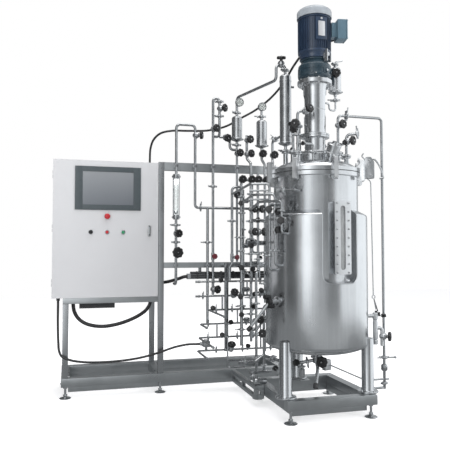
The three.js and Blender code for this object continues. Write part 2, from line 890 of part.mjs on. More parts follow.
// A C clamp that grips both flanges, with its tall screw.
function lidClamp(degrees) {
  const under = flangeTop - flangeThick - seam;
  const inner = flangeRadius + 2 * seam;
  const shape = new THREE.Shape();
  shape.moveTo(inner - 20, headTop - 1);
  shape.lineTo(inner - 20, headTop + 20);
  shape.lineTo(inner + 2, headTop + 20);
  shape.lineTo(inner + 2, headTop + 50);
  shape.lineTo(inner + 26, headTop + 50);
  shape.lineTo(inner + 26, under - 32);
  shape.lineTo(inner - 18, under - 20);
  shape.lineTo(inner - 18, under);
  shape.lineTo(inner, under);
  shape.lineTo(inner, headTop - 1);
  const geometry = new THREE.ExtrudeGeometry(shape, { depth: clampWidth, bevelEnabled: false });
  geometry.translate(0, 0, -clampWidth / 2).rotateX(Math.PI / 2);
  return toSolid(geometry.rotateZ(THREE.MathUtils.degToRad(degrees)));
}

// The bracket at the lid's edge that its lifting arm pins into.
function lidArm() {
  const turn = 335 + 90;
  return join(
    block([-26, 26], [-flangeRadius - 60, -flangeRadius + 14], [headTop - 1, headTop + 26], turn),
    block([-26, -14], [-flangeRadius - 72, -flangeRadius - 8], [headTop - 52, headTop + 84], turn),
    block([14, 26], [-flangeRadius - 72, -flangeRadius - 8], [headTop - 52, headTop + 84], turn),
    block([-26, 26], [-flangeRadius - 72, -flangeRadius - 58], [headTop - 52, headTop - 20], turn),
  );
}

function headGasket() {
  const z = flangeTop + seam;
  const profile = [
    [shellRadius - 3, z],
    [flangeRadius - 4, z],
    [flangeRadius - 4, z + gasketThick],
    [shellRadius - 3, z + gasketThick],
    [shellRadius - 3, z],
  ];
  return turned(profile, turnSides);
}

// ---- Agitator and drive, in the vessel's frame --------------------------------------------------
const driveSides = 20;
const rotorShaft = 14;
const rotorSides = 10;
const sealBottom = padTop + seam;
const sealTop = sealBottom + sealHeight;
const lanternBottom = sealTop + seam;
const lanternTop = lanternBottom + lanternHeight;
const driveFlangeTop = lanternTop + driveFlangeThick;
const gearBottom = driveFlangeTop + seam;
const gearTop = gearBottom + gearHeight;
const motorBottom = gearTop + seam;
const motorBody = motorBottom + motorNeck;
const motorTop = motorBody + motorHeight;
const cowlBottom = motorTop + seam;
const cowlTop = cowlBottom + cowlHeight;
const shaftBottom = 500;
const shaftTop = gearBottom + 60;

const tubeProfile = (inner, outer, z0, z1) => [
  [inner, z0],
  [outer, z0],
  [outer, z1],
  [inner, z1],
  [inner, z0],
];

function sealHousing() {
  const bore = shaftRadius + seam;
  const foot = 18;
  return turned(
    [
      [bore, sealBottom],
      [padRadius - 6, sealBottom],
      [padRadius - 6, sealBottom + foot],
      [sealRadius, sealBottom + foot + 4],
      [sealRadius, sealTop - 16],
      [lanternRadius + 14, sealTop - 12],
      [lanternRadius + 14, sealTop],
      [bore, sealTop],
      [bore, sealBottom],
    ],
    driveSides,
  );
}

// The lantern that spans the coupling, with a window on each side.
function lantern() {
  const inner = lanternRadius - lanternWall;
  const foot = 14;
  const body = turned(
    [
      [inner, lanternBottom],
      [lanternRadius + 14, lanternBottom],
      [lanternRadius + 14, lanternBottom + foot],
      [lanternRadius, lanternBottom + foot],
      [lanternRadius, lanternTop],
      [driveFlange, lanternTop + 4],
      [driveFlange, driveFlangeTop],
      [shaftRadius + 12, driveFlangeTop],
      [shaftRadius + 12, driveFlangeTop - 18],
      [inner, driveFlangeTop - 22],
      [inner, lanternBottom],
    ],
    driveSides,
  );
  const window = block([-34, 34], [-150, 150], [lanternTop - 190, lanternTop - 40], 70);
  return cut(body, window);
}

function gearbox() {
  const bore = shaftRadius + seam;
  const top = gearTop - 12;
  const rotorBore = 14 + seam;
  return turned(
    [
      [bore, gearBottom],
      [gearRadius - 10, gearBottom],
      [gearRadius, gearBottom + 16],
      [gearRadius, top - 28],
      [gearRadius * 0.78, top],
      [gearRadius * 0.78, gearTop],
      [rotorBore, gearTop],
      [rotorBore, shaftTop + 12],
      [bore, shaftTop + 8],
      [bore, gearBottom],
    ],
    driveSides,
  );
}

// A star-shaped section: the motor's round body with cooling fins along it.
function finnedSection(root, tip) {
  const shape = new THREE.Shape();
  const step = 360 / finCount;
  for (let k = 0; k < finCount; k++) {
    const ring = [[root, 0.3], [tip, 0.42], [tip, 0.58], [root, 0.7]];
    for (const [radius, share] of ring) {
      const { x, y } = polar(radius, (k + share) * step);
      if (k === 0 && share === 0.3) shape.moveTo(x, y);
      else shape.lineTo(x, y);
    }
  }
  return shape;
}

function motorHousing() {
  const bore = 40;
  const mouth = (rotorShaft + seam) / Math.cos(Math.PI / rotorSides);
  const neck = turned(
    [
      [0, motorBottom],
      [gearRadius * 0.9, motorBottom],
      [gearRadius * 0.9, motorBottom + 10],
      [motorRadius - finHeight, motorBody],
      [motorRadius - finHeight, motorBody + 6],
      [0, motorBody + 6],
    ],
    driveSides,
  );
  const finLength = motorTop - 10 - motorBody;
  const fins = new THREE.ExtrudeGeometry(finnedSection(motorRadius - finHeight, motorRadius), {
    depth: finLength,
    bevelEnabled: false,
  });
  const rim = bar(vec(0, 0, motorTop - 12), vec(0, 0, motorTop), motorRadius, driveSides);
  const room = turned(
    [
      [0, motorBottom - 1],
      [mouth, motorBottom - 1],
      [mouth, motorBody + 16],
      [bore, motorBody + 20],
      [bore, motorTop - 14],
      [mouth, motorTop - 10],
      [mouth, motorTop + 1],
      [0, motorTop + 1],
    ],
    rotorSides,
  );
  return cut(join(neck, toSolid(fins.translate(0, 0, motorBody)), rim), room);
}

function fanCowl() {
  const wall = 4;
  const body = turned(
    [
      [cowlRadius - wall, cowlBottom],
      [cowlRadius, cowlBottom],
      [cowlRadius, cowlTop - 26],
      [cowlRadius - 40, cowlTop],
      [0, cowlTop],
      [0, cowlTop - wall],
      [cowlRadius - 42, cowlTop - wall],
      [cowlRadius - wall, cowlTop - 28],
      [cowlRadius - wall, cowlBottom],
    ],
    driveSides,
  );
  const slots = Array.from({ length: 4 }, (_, k) =>
    block([-8, 8], [-62, -24], [cowlTop - 20, cowlTop + 5], k * 90),
  );
  const lugs = Array.from({ length: 3 }, (_, k) =>
    block([-8, 8], [-cowlRadius + 1, -motorRadius + 12], [cowlBottom, cowlBottom + 8], k * 120 + 30),
  );
  return join(cut(body, slots), lugs);
}

// The motor's rotor, with its fan above the housing and its pinion end in the gearbox.
function motorRotor() {
  const shaft = rotorShaft;
  const fanZ = motorTop + 14;
  const rotor = turned(
    [
      [0, shaftTop + 14],
      [shaft, shaftTop + 14],
      [shaft, motorBody + 26],
      [36, motorBody + 30],
      [36, motorTop - 24],
      [shaft, motorTop - 20],
      [shaft, fanZ + 36],
      [0, fanZ + 36],
    ],
    rotorSides,
  );
  const blades = Array.from({ length: 5 }, (_, k) =>
    block([-2, 2], [-84, -10], [fanZ + 3, fanZ + 30], (k * 360) / 5),
  );
  const disc = bar(vec(0, 0, fanZ), vec(0, 0, fanZ + 4), 86, 14);
  return join(rotor, blades, disc);
}

function terminalBox() {
  const reach = motorRadius + seam;
  const mouth = terminalGland.clone().sub(vesselAt);
  return join(
    block([-46, 46], [-reach - 104, -reach - 36], [motorBody + 104, motorTop - 4], terminalTurn),
    block([-30, 30], [-reach - 37, -reach], [motorBody + 120, motorTop - 24], terminalTurn),
    gland(mouth, terminalBack, glandAt.motor.radius),
  );
}
const terminalTurn = 80;
const terminalBack = polar(1, terminalTurn);
const terminalGland = polar(motorRadius + 70, terminalTurn - 90, motorBody + 155)
  .addScaledVector(terminalBack, 46)
  .add(vesselAt);

function agitatorShaft() {
  const couple = sealTop + 90;
  return turned(
    [
      [0, shaftBottom],
      [shaftRadius, shaftBottom],
      [shaftRadius, couple],
      [shaftRadius + 22, couple],
      [shaftRadius + 22, couple + 90],
      [shaftRadius, couple + 90],
      [shaftRadius, shaftTop],
      [0, shaftTop],
    ],
    16,
  );
}

// A flat-bladed impeller clamped on the shaft.
function impeller(z) {
  const hub = turned(tubeProfile(shaftRadius + seam, shaftRadius + 14, z - 28, z + 28), 16);
  const blades = Array.from({ length: 4 }, (_, k) =>
    block([-3, 3], [-impellerRadius, -shaftRadius - 8], [z - 24, z + 24], k * 90),
  );
  return join(hub, blades);
}

// ---- Pipework on the rack -----------------------------------------------------------------------
const pipeY = -post / 2 - pipeOff;
const inletX = standWidth + 101;
const returnX = inletX + 141;
const meetX = returnX + 47; // where the return spool meets the sterile air spool
const dropX = meetX + 48;
const riserX = dropX + 41;
const branchX = riserX + 50;
const filterX = branchX + 136;
const filterZ = 1831;
const filterHeight = 209;
const crossZ = 1340;
const exhaustZ = 2180;
const meterZ = [1285, 1548];
const airValves = [
  { z: 1010, stem: vec(0.12, -0.99, 0).normalize(), wheel: 42 },
  { z: 1148, stem: vec(0.27, -0.96, 0).normalize(), wheel: wheelRadius },
];
const riserValve = { z: 2088, stem: vec(0.7, -0.71, 0).normalize() };

const onRack = (x, z, y = pipeY) => vec(x, y, z);
const facingOut = (x, z = 0) => vec(x, -1, z).normalize();

// A saddle clip that holds a pipe to a beam of the rack.
const clip = (x, z, y = pipeY) => block([x - 8, x + 8], [y, -post / 2 - seam], [z - 8, z + 8]);
const topClipZ = rackTop - topBeam / 2;
const midClipZ = midBeamTop - post / 2;

// The air inlet with its two valves and the flow meter's end fittings, then over the top and back down.
function airInletLine() {
  const lower = [onRack(inletX, 782, 10), onRack(inletX, 782), onRack(inletX, meterZ[0] - 20)];
  const upper = [
    onRack(inletX, meterZ[1] + 20),
    onRack(inletX, 1950),
    onRack(returnX, 1950),
    onRack(returnX, crossZ),
    onRack(meetX - seam / 2, crossZ),
  ];
  const guards = [-1, 1].map((side) => {
    const x = inletX + side * (meterRadius + 7);
    return bar(onRack(x, meterZ[0] - 22), onRack(x, meterZ[1] + 22), 3.5, 6);
  });
  const end = (z0, z1) => bar(onRack(inletX, z0), onRack(inletX, z1), meterRadius + 11, 12);
  return join(
    pipe(lower),
    pipe(upper),
    guards,
    end(meterZ[0] - 34, meterZ[0] - seam),
    end(meterZ[1] + seam, meterZ[1] + 34),
    airValves.map(({ z, stem }) => membraneValve(onRack(inletX, z), up, stem)),
    [1085, 1210].map((z) => clampJoint(onRack(inletX, z))),
    clip(inletX, midClipZ),
    clip(inletX, topClipZ),
    clip(returnX, topClipZ),
    wheeledValve(onRack(returnX, 1875), facingOut(1.9)),
    clampJoint(onRack(meetX - 8 - seam / 2, crossZ), right, 19),
  );
}

const meterTube = () =>
  turned(tubeProfile(meterRadius - 3, meterRadius, meterZ[0], meterZ[1]), 16, onRack(inletX, 0));

function meterFloat() {
  const z = meterZ[0] + 1;
  return turned(
    [
      [0, z],
      [meterRadius - 4, z + 16],
      [meterRadius - 4, z + 24],
      [0, z + 30],
    ],
    12,
    onRack(inletX, 0),
  );
}

// The sterile air riser, its branch through the loose-wheeled valve, the filter's drain and the drop line.
function sterileAirLine() {
  const low = 1873;
  const loop = [
    onRack(riserX, 700),
    onRack(riserX, 2162),
    onRack(branchX, 2162),
    onRack(branchX, low),
    onRack(riserX, low),
  ];
  const toFilter = [
    onRack(branchX, low),
    onRack(filterX - 56, low),
    onRack(filterX - 56, filterZ - 50),
    onRack(filterX, filterZ - 50),
  ];
  const cross = [
    onRack(filterX + 125, crossZ),
    onRack(meetX + seam / 2, crossZ),
  ];
  return join(
    pipe(loop),
    pipe(toFilter),
    pipe([onRack(filterX, filterZ - seam), onRack(filterX, 940)], 9),
    pipe(cross),
    pipe([onRack(dropX, crossZ), onRack(dropX, 480)]),
    clampJoint(onRack(meetX + 8 + seam / 2, crossZ), right, 19),
    membraneValve(onRack(branchX, riserValve.z), up, riserValve.stem),
    wheeledValve(onRack(riserX, 1930), facingOut(0.36)),
    wheeledValve(onRack(filterX - 92, low), facingOut(0.2, -0.3)),
    [2140, 2030].map((z) => clampJoint(onRack(branchX, z))),
    clampJoint(onRack(filterX, filterZ - 12)),
    wheeledValve(onRack(filterX, 1755), facingOut(0.3)),
    wheeledValve(onRack(filterX, 1440), facingOut(-0.2)),
    gauge(onRack(riserX, 982, pipeY - 16), onRack(riserX, 960), 26),
    wheeledValve(onRack(riserX, 740), facingOut(0.7)),
    [riserX, filterX].map((x) => clip(x, topClipZ)),
    [riserX, dropX].map((x) => clip(x, midClipZ)),
  );
}

// Risers in front of the rack with rows of valves between them, carried on a shelf.
const manifoldY = -150;
const manifoldX = [-65, 7, 80, 135, 190].map((step) => filterX + step);
const manifoldRows = [1545, 1330, 1162];
const inletFilter = { x: filterX + 166, z: 1774, height: 226 };
const lidFeedX = filterX + 252;
const lidFeedZ = 1848;
const lidFeedY = manifoldY - 60; // where the manifold's line to the lid ends
const jacketFeed = { degrees: 103, z: 1147 };

function valveManifold() {
  const [a, b, c, d, e] = manifoldX;
  const y = manifoldY;
  const at = (x, z, dy = 0) => vec(x, y + dy, z);
  const feed = (reach) => polar(reach, jacketFeed.degrees, jacketFeed.z).add(vesselAt);
  const inward = polar(1, jacketFeed.degrees + 180);
  const risers = [
    pipe([at(b, manifoldRows[0]), at(b, 1490), at(a, 1490), at(a, 925), at(a - 20, 905), at(a - 20, 803)]),
    pipe([at(b, 1500), at(b, 334)], 12),
    pipe([at(c - 18, 1885, 40), at(c - 18, 1710, 40), at(c, 1670), at(c, 360)]),
    pipe([at(d, 1600), at(d, 870), at(d - 32, 870, -50), at(d - 32, 122, -50)]),
    pipe([at(inletFilter.x, inletFilter.z - seam), at(inletFilter.x, 1700), at(e, 1664), at(e, 640)]),
    pipe([at(e, 1640), at(lidFeedX, 1640), at(lidFeedX, lidFeedZ), vec(lidFeedX, lidFeedY, lidFeedZ)]),
    cut(pipe([at(e, jacketFeed.z), feed(430), feed(jacketRadius - 10)]), jacketSkin(vesselAt)),
  ];
  const rows = manifoldRows.map((z) => pipe([at(z > 1500 ? b : c, z), at(e, z)]));
  const fixed = [
    [b, 0, -0.05],
    [c, 0, -0.1],
    [d, 0, -0.2],
    [c, 1, 0.45],
    [d, 1, 0.5],
    [c, 2, 0.45],
    [d, 2, 1.2],
  ].map(([x, row, side]) => wheeledValve(at(x, manifoldRows[row]), facingOut(side)));
  const shelf = block([b - 60, e + 90], [y + 8, -post / 2 - seam], [midBeamTop - 34, midBeamTop - 26]);
  return join(
    risers,
    rows,
    fixed,
    shelf,
    membraneValve(at(e, manifoldRows[0]), up, front),
    wheeledValve(at(c - 18, 1850, 40), facingOut(0.3)),
    wheeledValve(at(c - 18, 1745, 40), facingOut(0.6)),
    wheeledValve(at(inletFilter.x, 1740), facingOut(-0.1)),
    wheeledValve(at(lidFeedX, 1735), facingOut(0)),
    wheeledValve(feed(436), facingOut(-0.5)),
    clampJoint(feed(jacketRadius + 14), inward, 22),
    clampJoint(vec(lidFeedX, lidFeedY + 8, lidFeedZ), back, 20),
    gauge(at(a + 14, 976, -14), at(a, 955), 24),
    [a, c, d, e].map((x) => clampJoint(at(x, 1240))),
    bar(at(c - 38, 1083), at(d - 16, 1083), 26, 8),
  );
}

// Rows of utility pipes low on the rack, hung from its middle beam, with their ends turned out.
const rowY = pipeY - 36;
const utilityRowList = [
  { z: 798, from: returnX + 4, out: 0 },
  { z: 693, from: returnX + 4, out: 0 },
  { z: 592, from: dropX, out: 440 },
  { z: 491, from: returnX + 32, out: 200 },
  { z: 394, from: returnX + 22, out: 424 },
  { z: 300, from: returnX + 12, out: 300 },
];
const transmitter = { x: dropX - 18, z: 350, size: 25 };

function utilityRows() {
  const end = rackLength - 60;
  const along = (share) => branchX + share * (end - branchX);
  const rows = utilityRowList.map(({ z, from, out }) => {
    const corners = [vec(end, rowY, z), vec(from, rowY, z)];
    if (out) corners.push(vec(from, rowY - out, z));
    return pipe(corners, thinRadius + 1, { bend: 20 });
  });
  const uprights = [branchX + 46, end - 14].map((x) => [
    block([x - 14, x + 14], [rowY + 3, rowY + 20], [utilityRowList[5].z - 12, midBeamTop - 6]),
    block([x - 14, x + 14], [rowY + 4, -post / 2 - seam], [midBeamTop - 22, midBeamTop - 6]),
  ]);
  const { x, z, size } = transmitter;
  return join(
    rows,
    uprights,
    wheeledValve(vec(along(0.21), rowY, 693), vec(0, -0.8, 0.6)),
    wheeledValve(vec(along(0.17), rowY, 300), vec(0, -0.5, 0.87)),
    wheeledValve(vec(along(0.53), rowY, 394), up),
    wheeledValve(vec(along(0.825), rowY, 798), front),
    bar(vec(x, rowY, 300), vec(x, rowY, z), 9, 8),
    block([x - size, x + size], [rowY - size, rowY + size], [z - 22, z + 20]),
    gland(vec(x - size, rowY, z), left, instrumentRadius),
  );
}
const instrumentRadius = glandAt.instrument.radius;

// Condensate and drain pipes low down between the rack and the vessel.
const drainX = vesselX - 213;
const drainY = vesselY + 411;
const trapY = linkEndY + linkBar / 2;
function drainLines() {
  const at = (dx, z, y = drainY) => vec(drainX + dx, y, z);
  const outwards = vec(drainX - vesselX, drainY - vesselY, 0).normalize();
  const onJacket = (reach) => vesselAt.clone().addScaledVector(outwards, jacketRadius + reach).setZ(640);
  return join(
    cut(pipe([at(0, 176), at(0, 640), onJacket(-10)]), jacketSkin(vesselAt)),
    pipe([at(-185, 250), at(-63, 250), at(0, 292)], 11),
    pipe([at(-205, 176, rowY - 40), at(-205, 228, rowY - 40), at(-149, 250, drainY + 60), at(-109, 250)]),
    pipe([at(55, 176), at(-109, 176), at(-109, 168, trapY)], 11),
    bar(at(-150, 168, trapY), at(-63, 168, trapY), 22, 10),
    clampJoint(at(-140, 250), right, 20),
    clampJoint(at(0, 222), up, 20),
    clampJoint(onJacket(14), outwards, 22),
    wheeledValve(at(0, 450), facingOut(-0.6)),
    wheeledValve(at(0, 545), facingOut(-1.1)),
  );
}

// The tray behind the pipes, hung from the rack's middle beam, with a junction box at its far end.
const tray = { x0: cabinetRight + 219, floor: midBeamTop - 123, wall: 38, half: 24, box: 92 };
const trayEnd = rackLength - post / 2 - seam;
function cableTray() {
  const { x0, floor, wall, half, box } = tray;
  const outer = block([x0, trayEnd], [-half, half], [floor, floor + wall]);
  const inner = block([x0 - 1, trayEnd - 10], [-half + 2, half - 2], [floor + 2, floor + wall + 1]);
  const hangers = [0.14, 0.46, 0.78].map((share) => x0 + share * (trayEnd - x0)).map((x) =>
    block([x - 12, x + 12], [half - 2, half], [floor + wall - 1, midBeamTop - post - seam]),
  );
  const face = trayEnd - box;
  const junction = block([face, trayEnd], [-half, half], [floor, midBeamTop - post - 8]);
  const mouth = vec(face, 0, trayCableZ);
  return join(cut(outer, inner), hangers, junction, trayGland(mouth));
}
// The junction box's gland, which sits on the tray's floor.
const trayGland = (mouth) => gland(mouth, left, glandAt.tray.radius);
const trayCableZ = tray.floor + 2 + glandAt.tray.radius + 2 * seam;

// ---- Lines on the lid ---------------------------------------------------------------------------
const condenserHeight = 505;
const sealPot = { x: vesselX + driveFlange + 57, y: vesselY + 41, z: driveFlangeTop - 77, height: 200 };
const dropLineX = vesselX + shellRadius + 235;
const dropLineZ = 1925;
const filterTop = filterZ + filterHeight + 14;

// The exhaust condenser on the lid's vent, and the pipe from its top across to the exhaust filter.
function exhaustCondenser() {
  const foot = lidPort("vent");
  const { x, y } = foot;
  const base = foot.z + 30;
  const top = base + condenserHeight;
  const at = (dx, z) => vec(x + dx, y, z);
  return join(
    filterHousing(at(0, base), condenserHeight),
    bar(foot, at(0, base + 4), pipeRadius, 8),
    clampJoint(at(0, foot.z + 9), up, 27),
    pipe([
      at(0, top),
      at(0, top + 62),
      at(-66, top + 62),
      at(-66, exhaustZ),
      onRack(filterX, exhaustZ),
      onRack(filterX, filterTop + seam),
    ]),
    clampJoint(at(0, top + 28)),
    clampJoint(onRack(filterX, filterTop + 10 + seam)),
    wheeledValve(at(-30, top + 62), vec(-0.1, -0.35, 0.93)),
    gauge(onRack(filterX + 14, 2140, pipeY - 18), onRack(filterX, 2125)),
  );
}

function exhaustFilter() {
  return filterHousing(onRack(filterX, filterZ), filterHeight);
}

function inletAirFilter() {
  const { x, z, height } = inletFilter;
  const top = z + height;
  const at = (up) => vec(x, manifoldY, top + up);
  return join(
    filterHousing(vec(x, manifoldY, z), height),
    bar(at(0), at(74), 9, 8),
    clampJoint(at(24)),
    gauge(at(96).add(vec(0, -8, 0)), at(60)),
  );
}

// The seal's lubrication pot on its bracket beside the drive flange, with its two small tubes.
function sealLubricationPot() {
  const { x, y, z, height } = sealPot;
  const bracketTop = driveFlangeTop - 8;
  const bracket = block([vesselX + driveFlange - 20, x], [y - 22, y - 10], [bracketTop - 34, bracketTop]);
  const flange = turned([[0, lanternTop], [driveFlange + seam, lanternTop], [driveFlange + seam, gearBottom],
    [0, gearBottom]], driveSides, vesselAt);
  return join(
    filterHousing(vec(x, y, z), height, 38),
    cut(bracket, flange),
    pipe([vec(x, y, z + 1), vec(x, y, z - 96), vec(x - 55, y - 18, z - 96), vec(x - 55, y - 18, z - 55), vec(x - 86, y - 28, z - 55)],
      thinRadius, { bend: 18 }),
    clampJoint(vec(x, y, z - 24), up, 24),
    pipe([vec(x, y, z + height), vec(x, y, z + height + 36), vec(x + 52, y, z + height + 50)], thinRadius, { bend: 14 }),
    clampJoint(vec(x, y, z + height + 20), up, 22),
    wheeledValve(vec(x, y, z + height - 50), facingOut(-0.3)),
  );
}

// The drop line: from the lid's feed port over the vessel's side and down to its drain valve.
function dropLine() {
  const start = lidPort("feed");
  const at = (x, z) => vec(x, start.y, z);
  const crest = [at(start.x, dropLineZ), at(dropLineX, dropLineZ)];
  const stayZ = baseTop - 30;
  return join(
    pipe([start, ...crest, at(dropLineX, 165)], 9),
    clampJoint(at(start.x, start.z + 8)),
    wheeledValve(at(start.x, 1860), facingOut(0.3)),
    clampJoint(at(start.x + 62, dropLineZ), right),
    bar(at(dropLineX, 219), at(dropLineX, 267), 21, 12),
    clampJoint(at(dropLineX, 310)),
    bar(at(dropLineX, 310), at(dropLineX + 88, 306), 6, 6),
    bar(at(dropLineX - 80, 166), at(dropLineX + 34, 166), 7, 6),
    bar(at(dropLineX, 170), at(dropLineX, stayZ - 8), 9, 8),
    bar(at(dropLineX + 4, stayZ), at(vesselX + frameX[1] + seam, stayZ), 8, 8),
    block([vesselX + frameX[1] + seam, vesselX + frameX[1] + 6], [start.y - 24, start.y + 24], [stayZ - 24, stayZ + 24]),
  );
}

// The spray line from the manifold to the lid, with its valve over the port.
function sprayLine() {
  const foot = lidPort("spray");
  const at = (z) => foot.clone().setZ(z);
  const past = lidPort("vent").x + 74; // the run goes by the condenser on its right
  return join(
    pipe([foot, at(lidFeedZ), vec(past, foot.y + 60, lidFeedZ), vec(past, lidFeedY - 120, lidFeedZ),
      vec(lidFeedX, lidFeedY - 90, lidFeedZ), vec(lidFeedX, lidFeedY - seam, lidFeedZ)], 9),
    clampJoint(at(foot.z + 8)),
    clampJoint(vec(lidFeedX, lidFeedY - seam - 8, lidFeedZ), back, 20),
    wheeledValve(at(1808), facingOut(-0.25)),
  );
}

// The charging line: up from its port, then over to a side valve.
function chargeLine() {
  const foot = lidPort("charge");
  const at = (z, dx = 0) => foot.clone().add(vec(dx, 0, 0)).setZ(z);
  return join(
    pipe([foot, at(1903), at(1903, 74)], 9),
    clampJoint(at(foot.z + 8)),
    wheeledValve(at(1815), facingOut(-0.9)),
    wheeledValve(at(1903, 50), facingOut(0.3, 0.3)),
  );
}

// The inoculation line: a valve over its port and a side branch that ends in a clamped cap.
function inoculumLine() {
  const start = lidPort("inoculum");
  const side = vec(62, -50, 0);
  const end = start.clone().add(side).setZ(1782);
  const along = side.clone().normalize();
  return join(
    pipe([start, start.clone().setZ(1782), end], 9),
    clampJoint(start.clone().setZ(start.z + 8)),
    wheeledValve(start.clone().setZ(1738), facingOut(0.7)),
    clampJoint(end.clone().addScaledVector(along, -8), along),
  );
}

// ---- Valves under and beside the vessel ---------------------------------------------------------
const outletZ = outletEnd - seam;
const outletValveAt = vec(31, -58, outletZ - 24);
const outletStem = vec(-0.75, -0.66, 0).normalize();
const outletWheel = 38;

// The bottom outlet valve, with its drain tube leaning back to the left.
function outletValve() {
  const { x, y, z } = outletValveAt;
  return join(
    turned([[0, outletZ], [38, outletZ], [38, outletZ - 12], [24, outletZ - 12], [24, z - 22], [0, z - 22]], 12),
    bar(vec(0, 0, z), vec(x * 1.3, y * 1.3, z), 22, 10),
    membraneValve(outletValveAt, up, outletStem, 46),
    pipe([vec(0, 0, z - 10), vec(-10, -40, z - 50), vec(-44, -84, baseTop + 38)], 11, { bend: 24 }),
    bar(vec(-40, -78, baseTop + 52), vec(-50, -92, baseTop + 26), 17, 8),
  );
}

// Two sampling valves on the jacket's right side, the first one with a loose T handle.
const sample = { degrees: 352, z: 600, reach: 82, bore: 5 };
const sampleFoot = polar(jacketRadius - 10, sample.degrees, sample.z);
const sampleOut = polar(1, sample.degrees);
const sampleAt = sampleFoot.clone().addScaledVector(sampleOut, sample.reach);

function sampleValve() {
  const second = sampleAt.clone().addScaledVector(sampleOut, 46).add(vec(0, 0, -80));
  const at = (point, dz) => point.clone().add(vec(0, 0, dz));
  return join(
    cut(bar(sampleFoot, sampleFoot.clone().addScaledVector(sampleOut, 21), 30, 12), jacketSkin()),
    bar(sampleFoot.clone().addScaledVector(sampleOut, 15), sampleAt, 13, 10),
    bar(at(sampleAt, 20), at(sampleAt, -186), 16, 10),
    bar(sampleAt, sampleAt.clone().addScaledVector(sampleOut, 74), sample.bore, 8),
    pipe([at(sampleAt, -80), second, at(second, -116)], 12, { bend: 20 }),
    wheeledValve(at(second, -54), vec(0.8, -0.6, 0)),
  );
}

function sampleHandle() {
  const hub = sampleAt.clone().addScaledVector(sampleOut, 44);
  const grip = hub.clone().addScaledVector(sampleOut, 14);
  const across = polar(34, sample.degrees + 90);
  const body = join(
    bar(hub, hub.clone().addScaledVector(sampleOut, 26), 12, 10),
    bar(grip.clone().sub(across), grip.clone().add(across), 7, 8),
  );
  const bore = (sample.bore + seam) / Math.cos(Math.PI / 8); // clears the spindle's corners as it turns
  return cut(body, bar(sampleAt, hub.clone().addScaledVector(sampleOut, 40), bore, 8));
}

// ---- Cables -------------------------------------------------------------------------------------
const cable = (points, radius, steps) =>
  sweep(new THREE.CatmullRomCurve3(points).getPoints(steps), radius, 8);

const glandMouth = ({ at, axis }, along) => at.clone().addScaledVector(axis, along);

// A cable's end inside its gland, just off the wall.
const glandSeat = ({ at, axis }) => at.clone().addScaledVector(axis, 1 + 2 * seam);

// From the cabinet's top, behind the pipes and round the condenser to the motor's terminal box.
function motorCable() {
  const start = glandAt.motor;
  const fromCabinet = (dx, y, z) => vec(start.at.x + dx, y, z);
  const toVessel = (dx, dy, z) => vec(vesselX + dx, vesselY + dy, z);
  const points = [
    glandSeat(start),
    glandMouth(start, 60),
    fromCabinet(2, 118, 1790),
    fromCabinet(18, 84, 1850),
    fromCabinet(62, 30, 1893),
    vec(inletX - 27, -8, 1910),
    vec(returnX - 48, -16, 1915),
    vec(dropX, -14, 1925),
    vec(branchX + 6, -6, 1948),
    vec(filterX - 50, 8, 1980),
    vec(filterX + 50, 0, 2040),
    vec(inletFilter.x - 26, -50, 2090),
    toVessel(-123, 591, 2140),
    toVessel(-84, 471, 2190),
    toVessel(-62, 341, 2250),
    toVessel(-40, 241, 2320),
    toVessel(2, 171, 2385),
    toVessel(67, 129, 2425),
    toVessel(134, 113, 2446),
    toVessel(180, 89, 2458),
    terminalGland.clone().addScaledVector(terminalBack, 44),
    terminalGland.clone().addScaledVector(terminalBack, 25),
    terminalGland.clone().addScaledVector(terminalBack, 1 + 2 * seam),
  ];
  return cable(points, start.radius, 54);
}

// A bundle that hangs in one loop between two glands under the cabinet.
function hangingCable() {
  const { hanging, hangingEnd } = glandAt;
  const hung = [
    [0.985, 71],
    [0.94, 105],
    [0.865, 135],
    [0.76, 163],
    [0.635, 187],
    [0.507, 203],
    [0.38, 210],
    [0.25, 203],
    [0.142, 183],
    [0.062, 148],
    [0.015, 103],
  ].map(([share, drop]) =>
    hangingEnd.at
      .clone()
      .lerp(hanging.at, share)
      .add(vec(0, -26 * Math.sin(Math.PI * share), -drop)),
  );
  const points = [
    glandSeat(hanging),
    glandMouth(hanging, 40),
    ...hung,
    glandMouth(hangingEnd, 60),
    glandSeat(hangingEnd),
  ];
  return cable(points, hanging.radius, 18);
}

// Down beside the front left post, along the front in a long sag and up to the transmitter.
function instrumentCable() {
  const start = glandAt.instrument;
  const endX = transmitter.x - transmitter.size;
  const postX = -post / 2;
  const run = [
    [0, -38, 296],
    [0.06, -48, 270],
    [0.145, -50, 254],
    [0.25, -50, 247],
    [0.37, -50, 248],
    [0.485, -50, 256],
    [0.59, -50, 272],
    [0.695, -52, 298],
    [0.8, -62, 330],
    [0.895, -80, 348],
  ].map(([share, y, z]) => vec(postX + share * (endX - 2 - postX), y, z));
  const points = [
    glandSeat(start),
    glandMouth(start, 60),
    vec(postX - 32, 56, 540),
    vec(postX - 30, 44, 450),
    vec(postX - 26, 22, 380),
    vec(postX - 20, -10, 330),
    ...run,
    vec(endX - 50, rowY, transmitter.z),
    vec(endX - 27, rowY, transmitter.z),
    vec(endX - 1 - 2 * seam, rowY, transmitter.z),
  ];
  return cable(points, start.radius, 40);
}

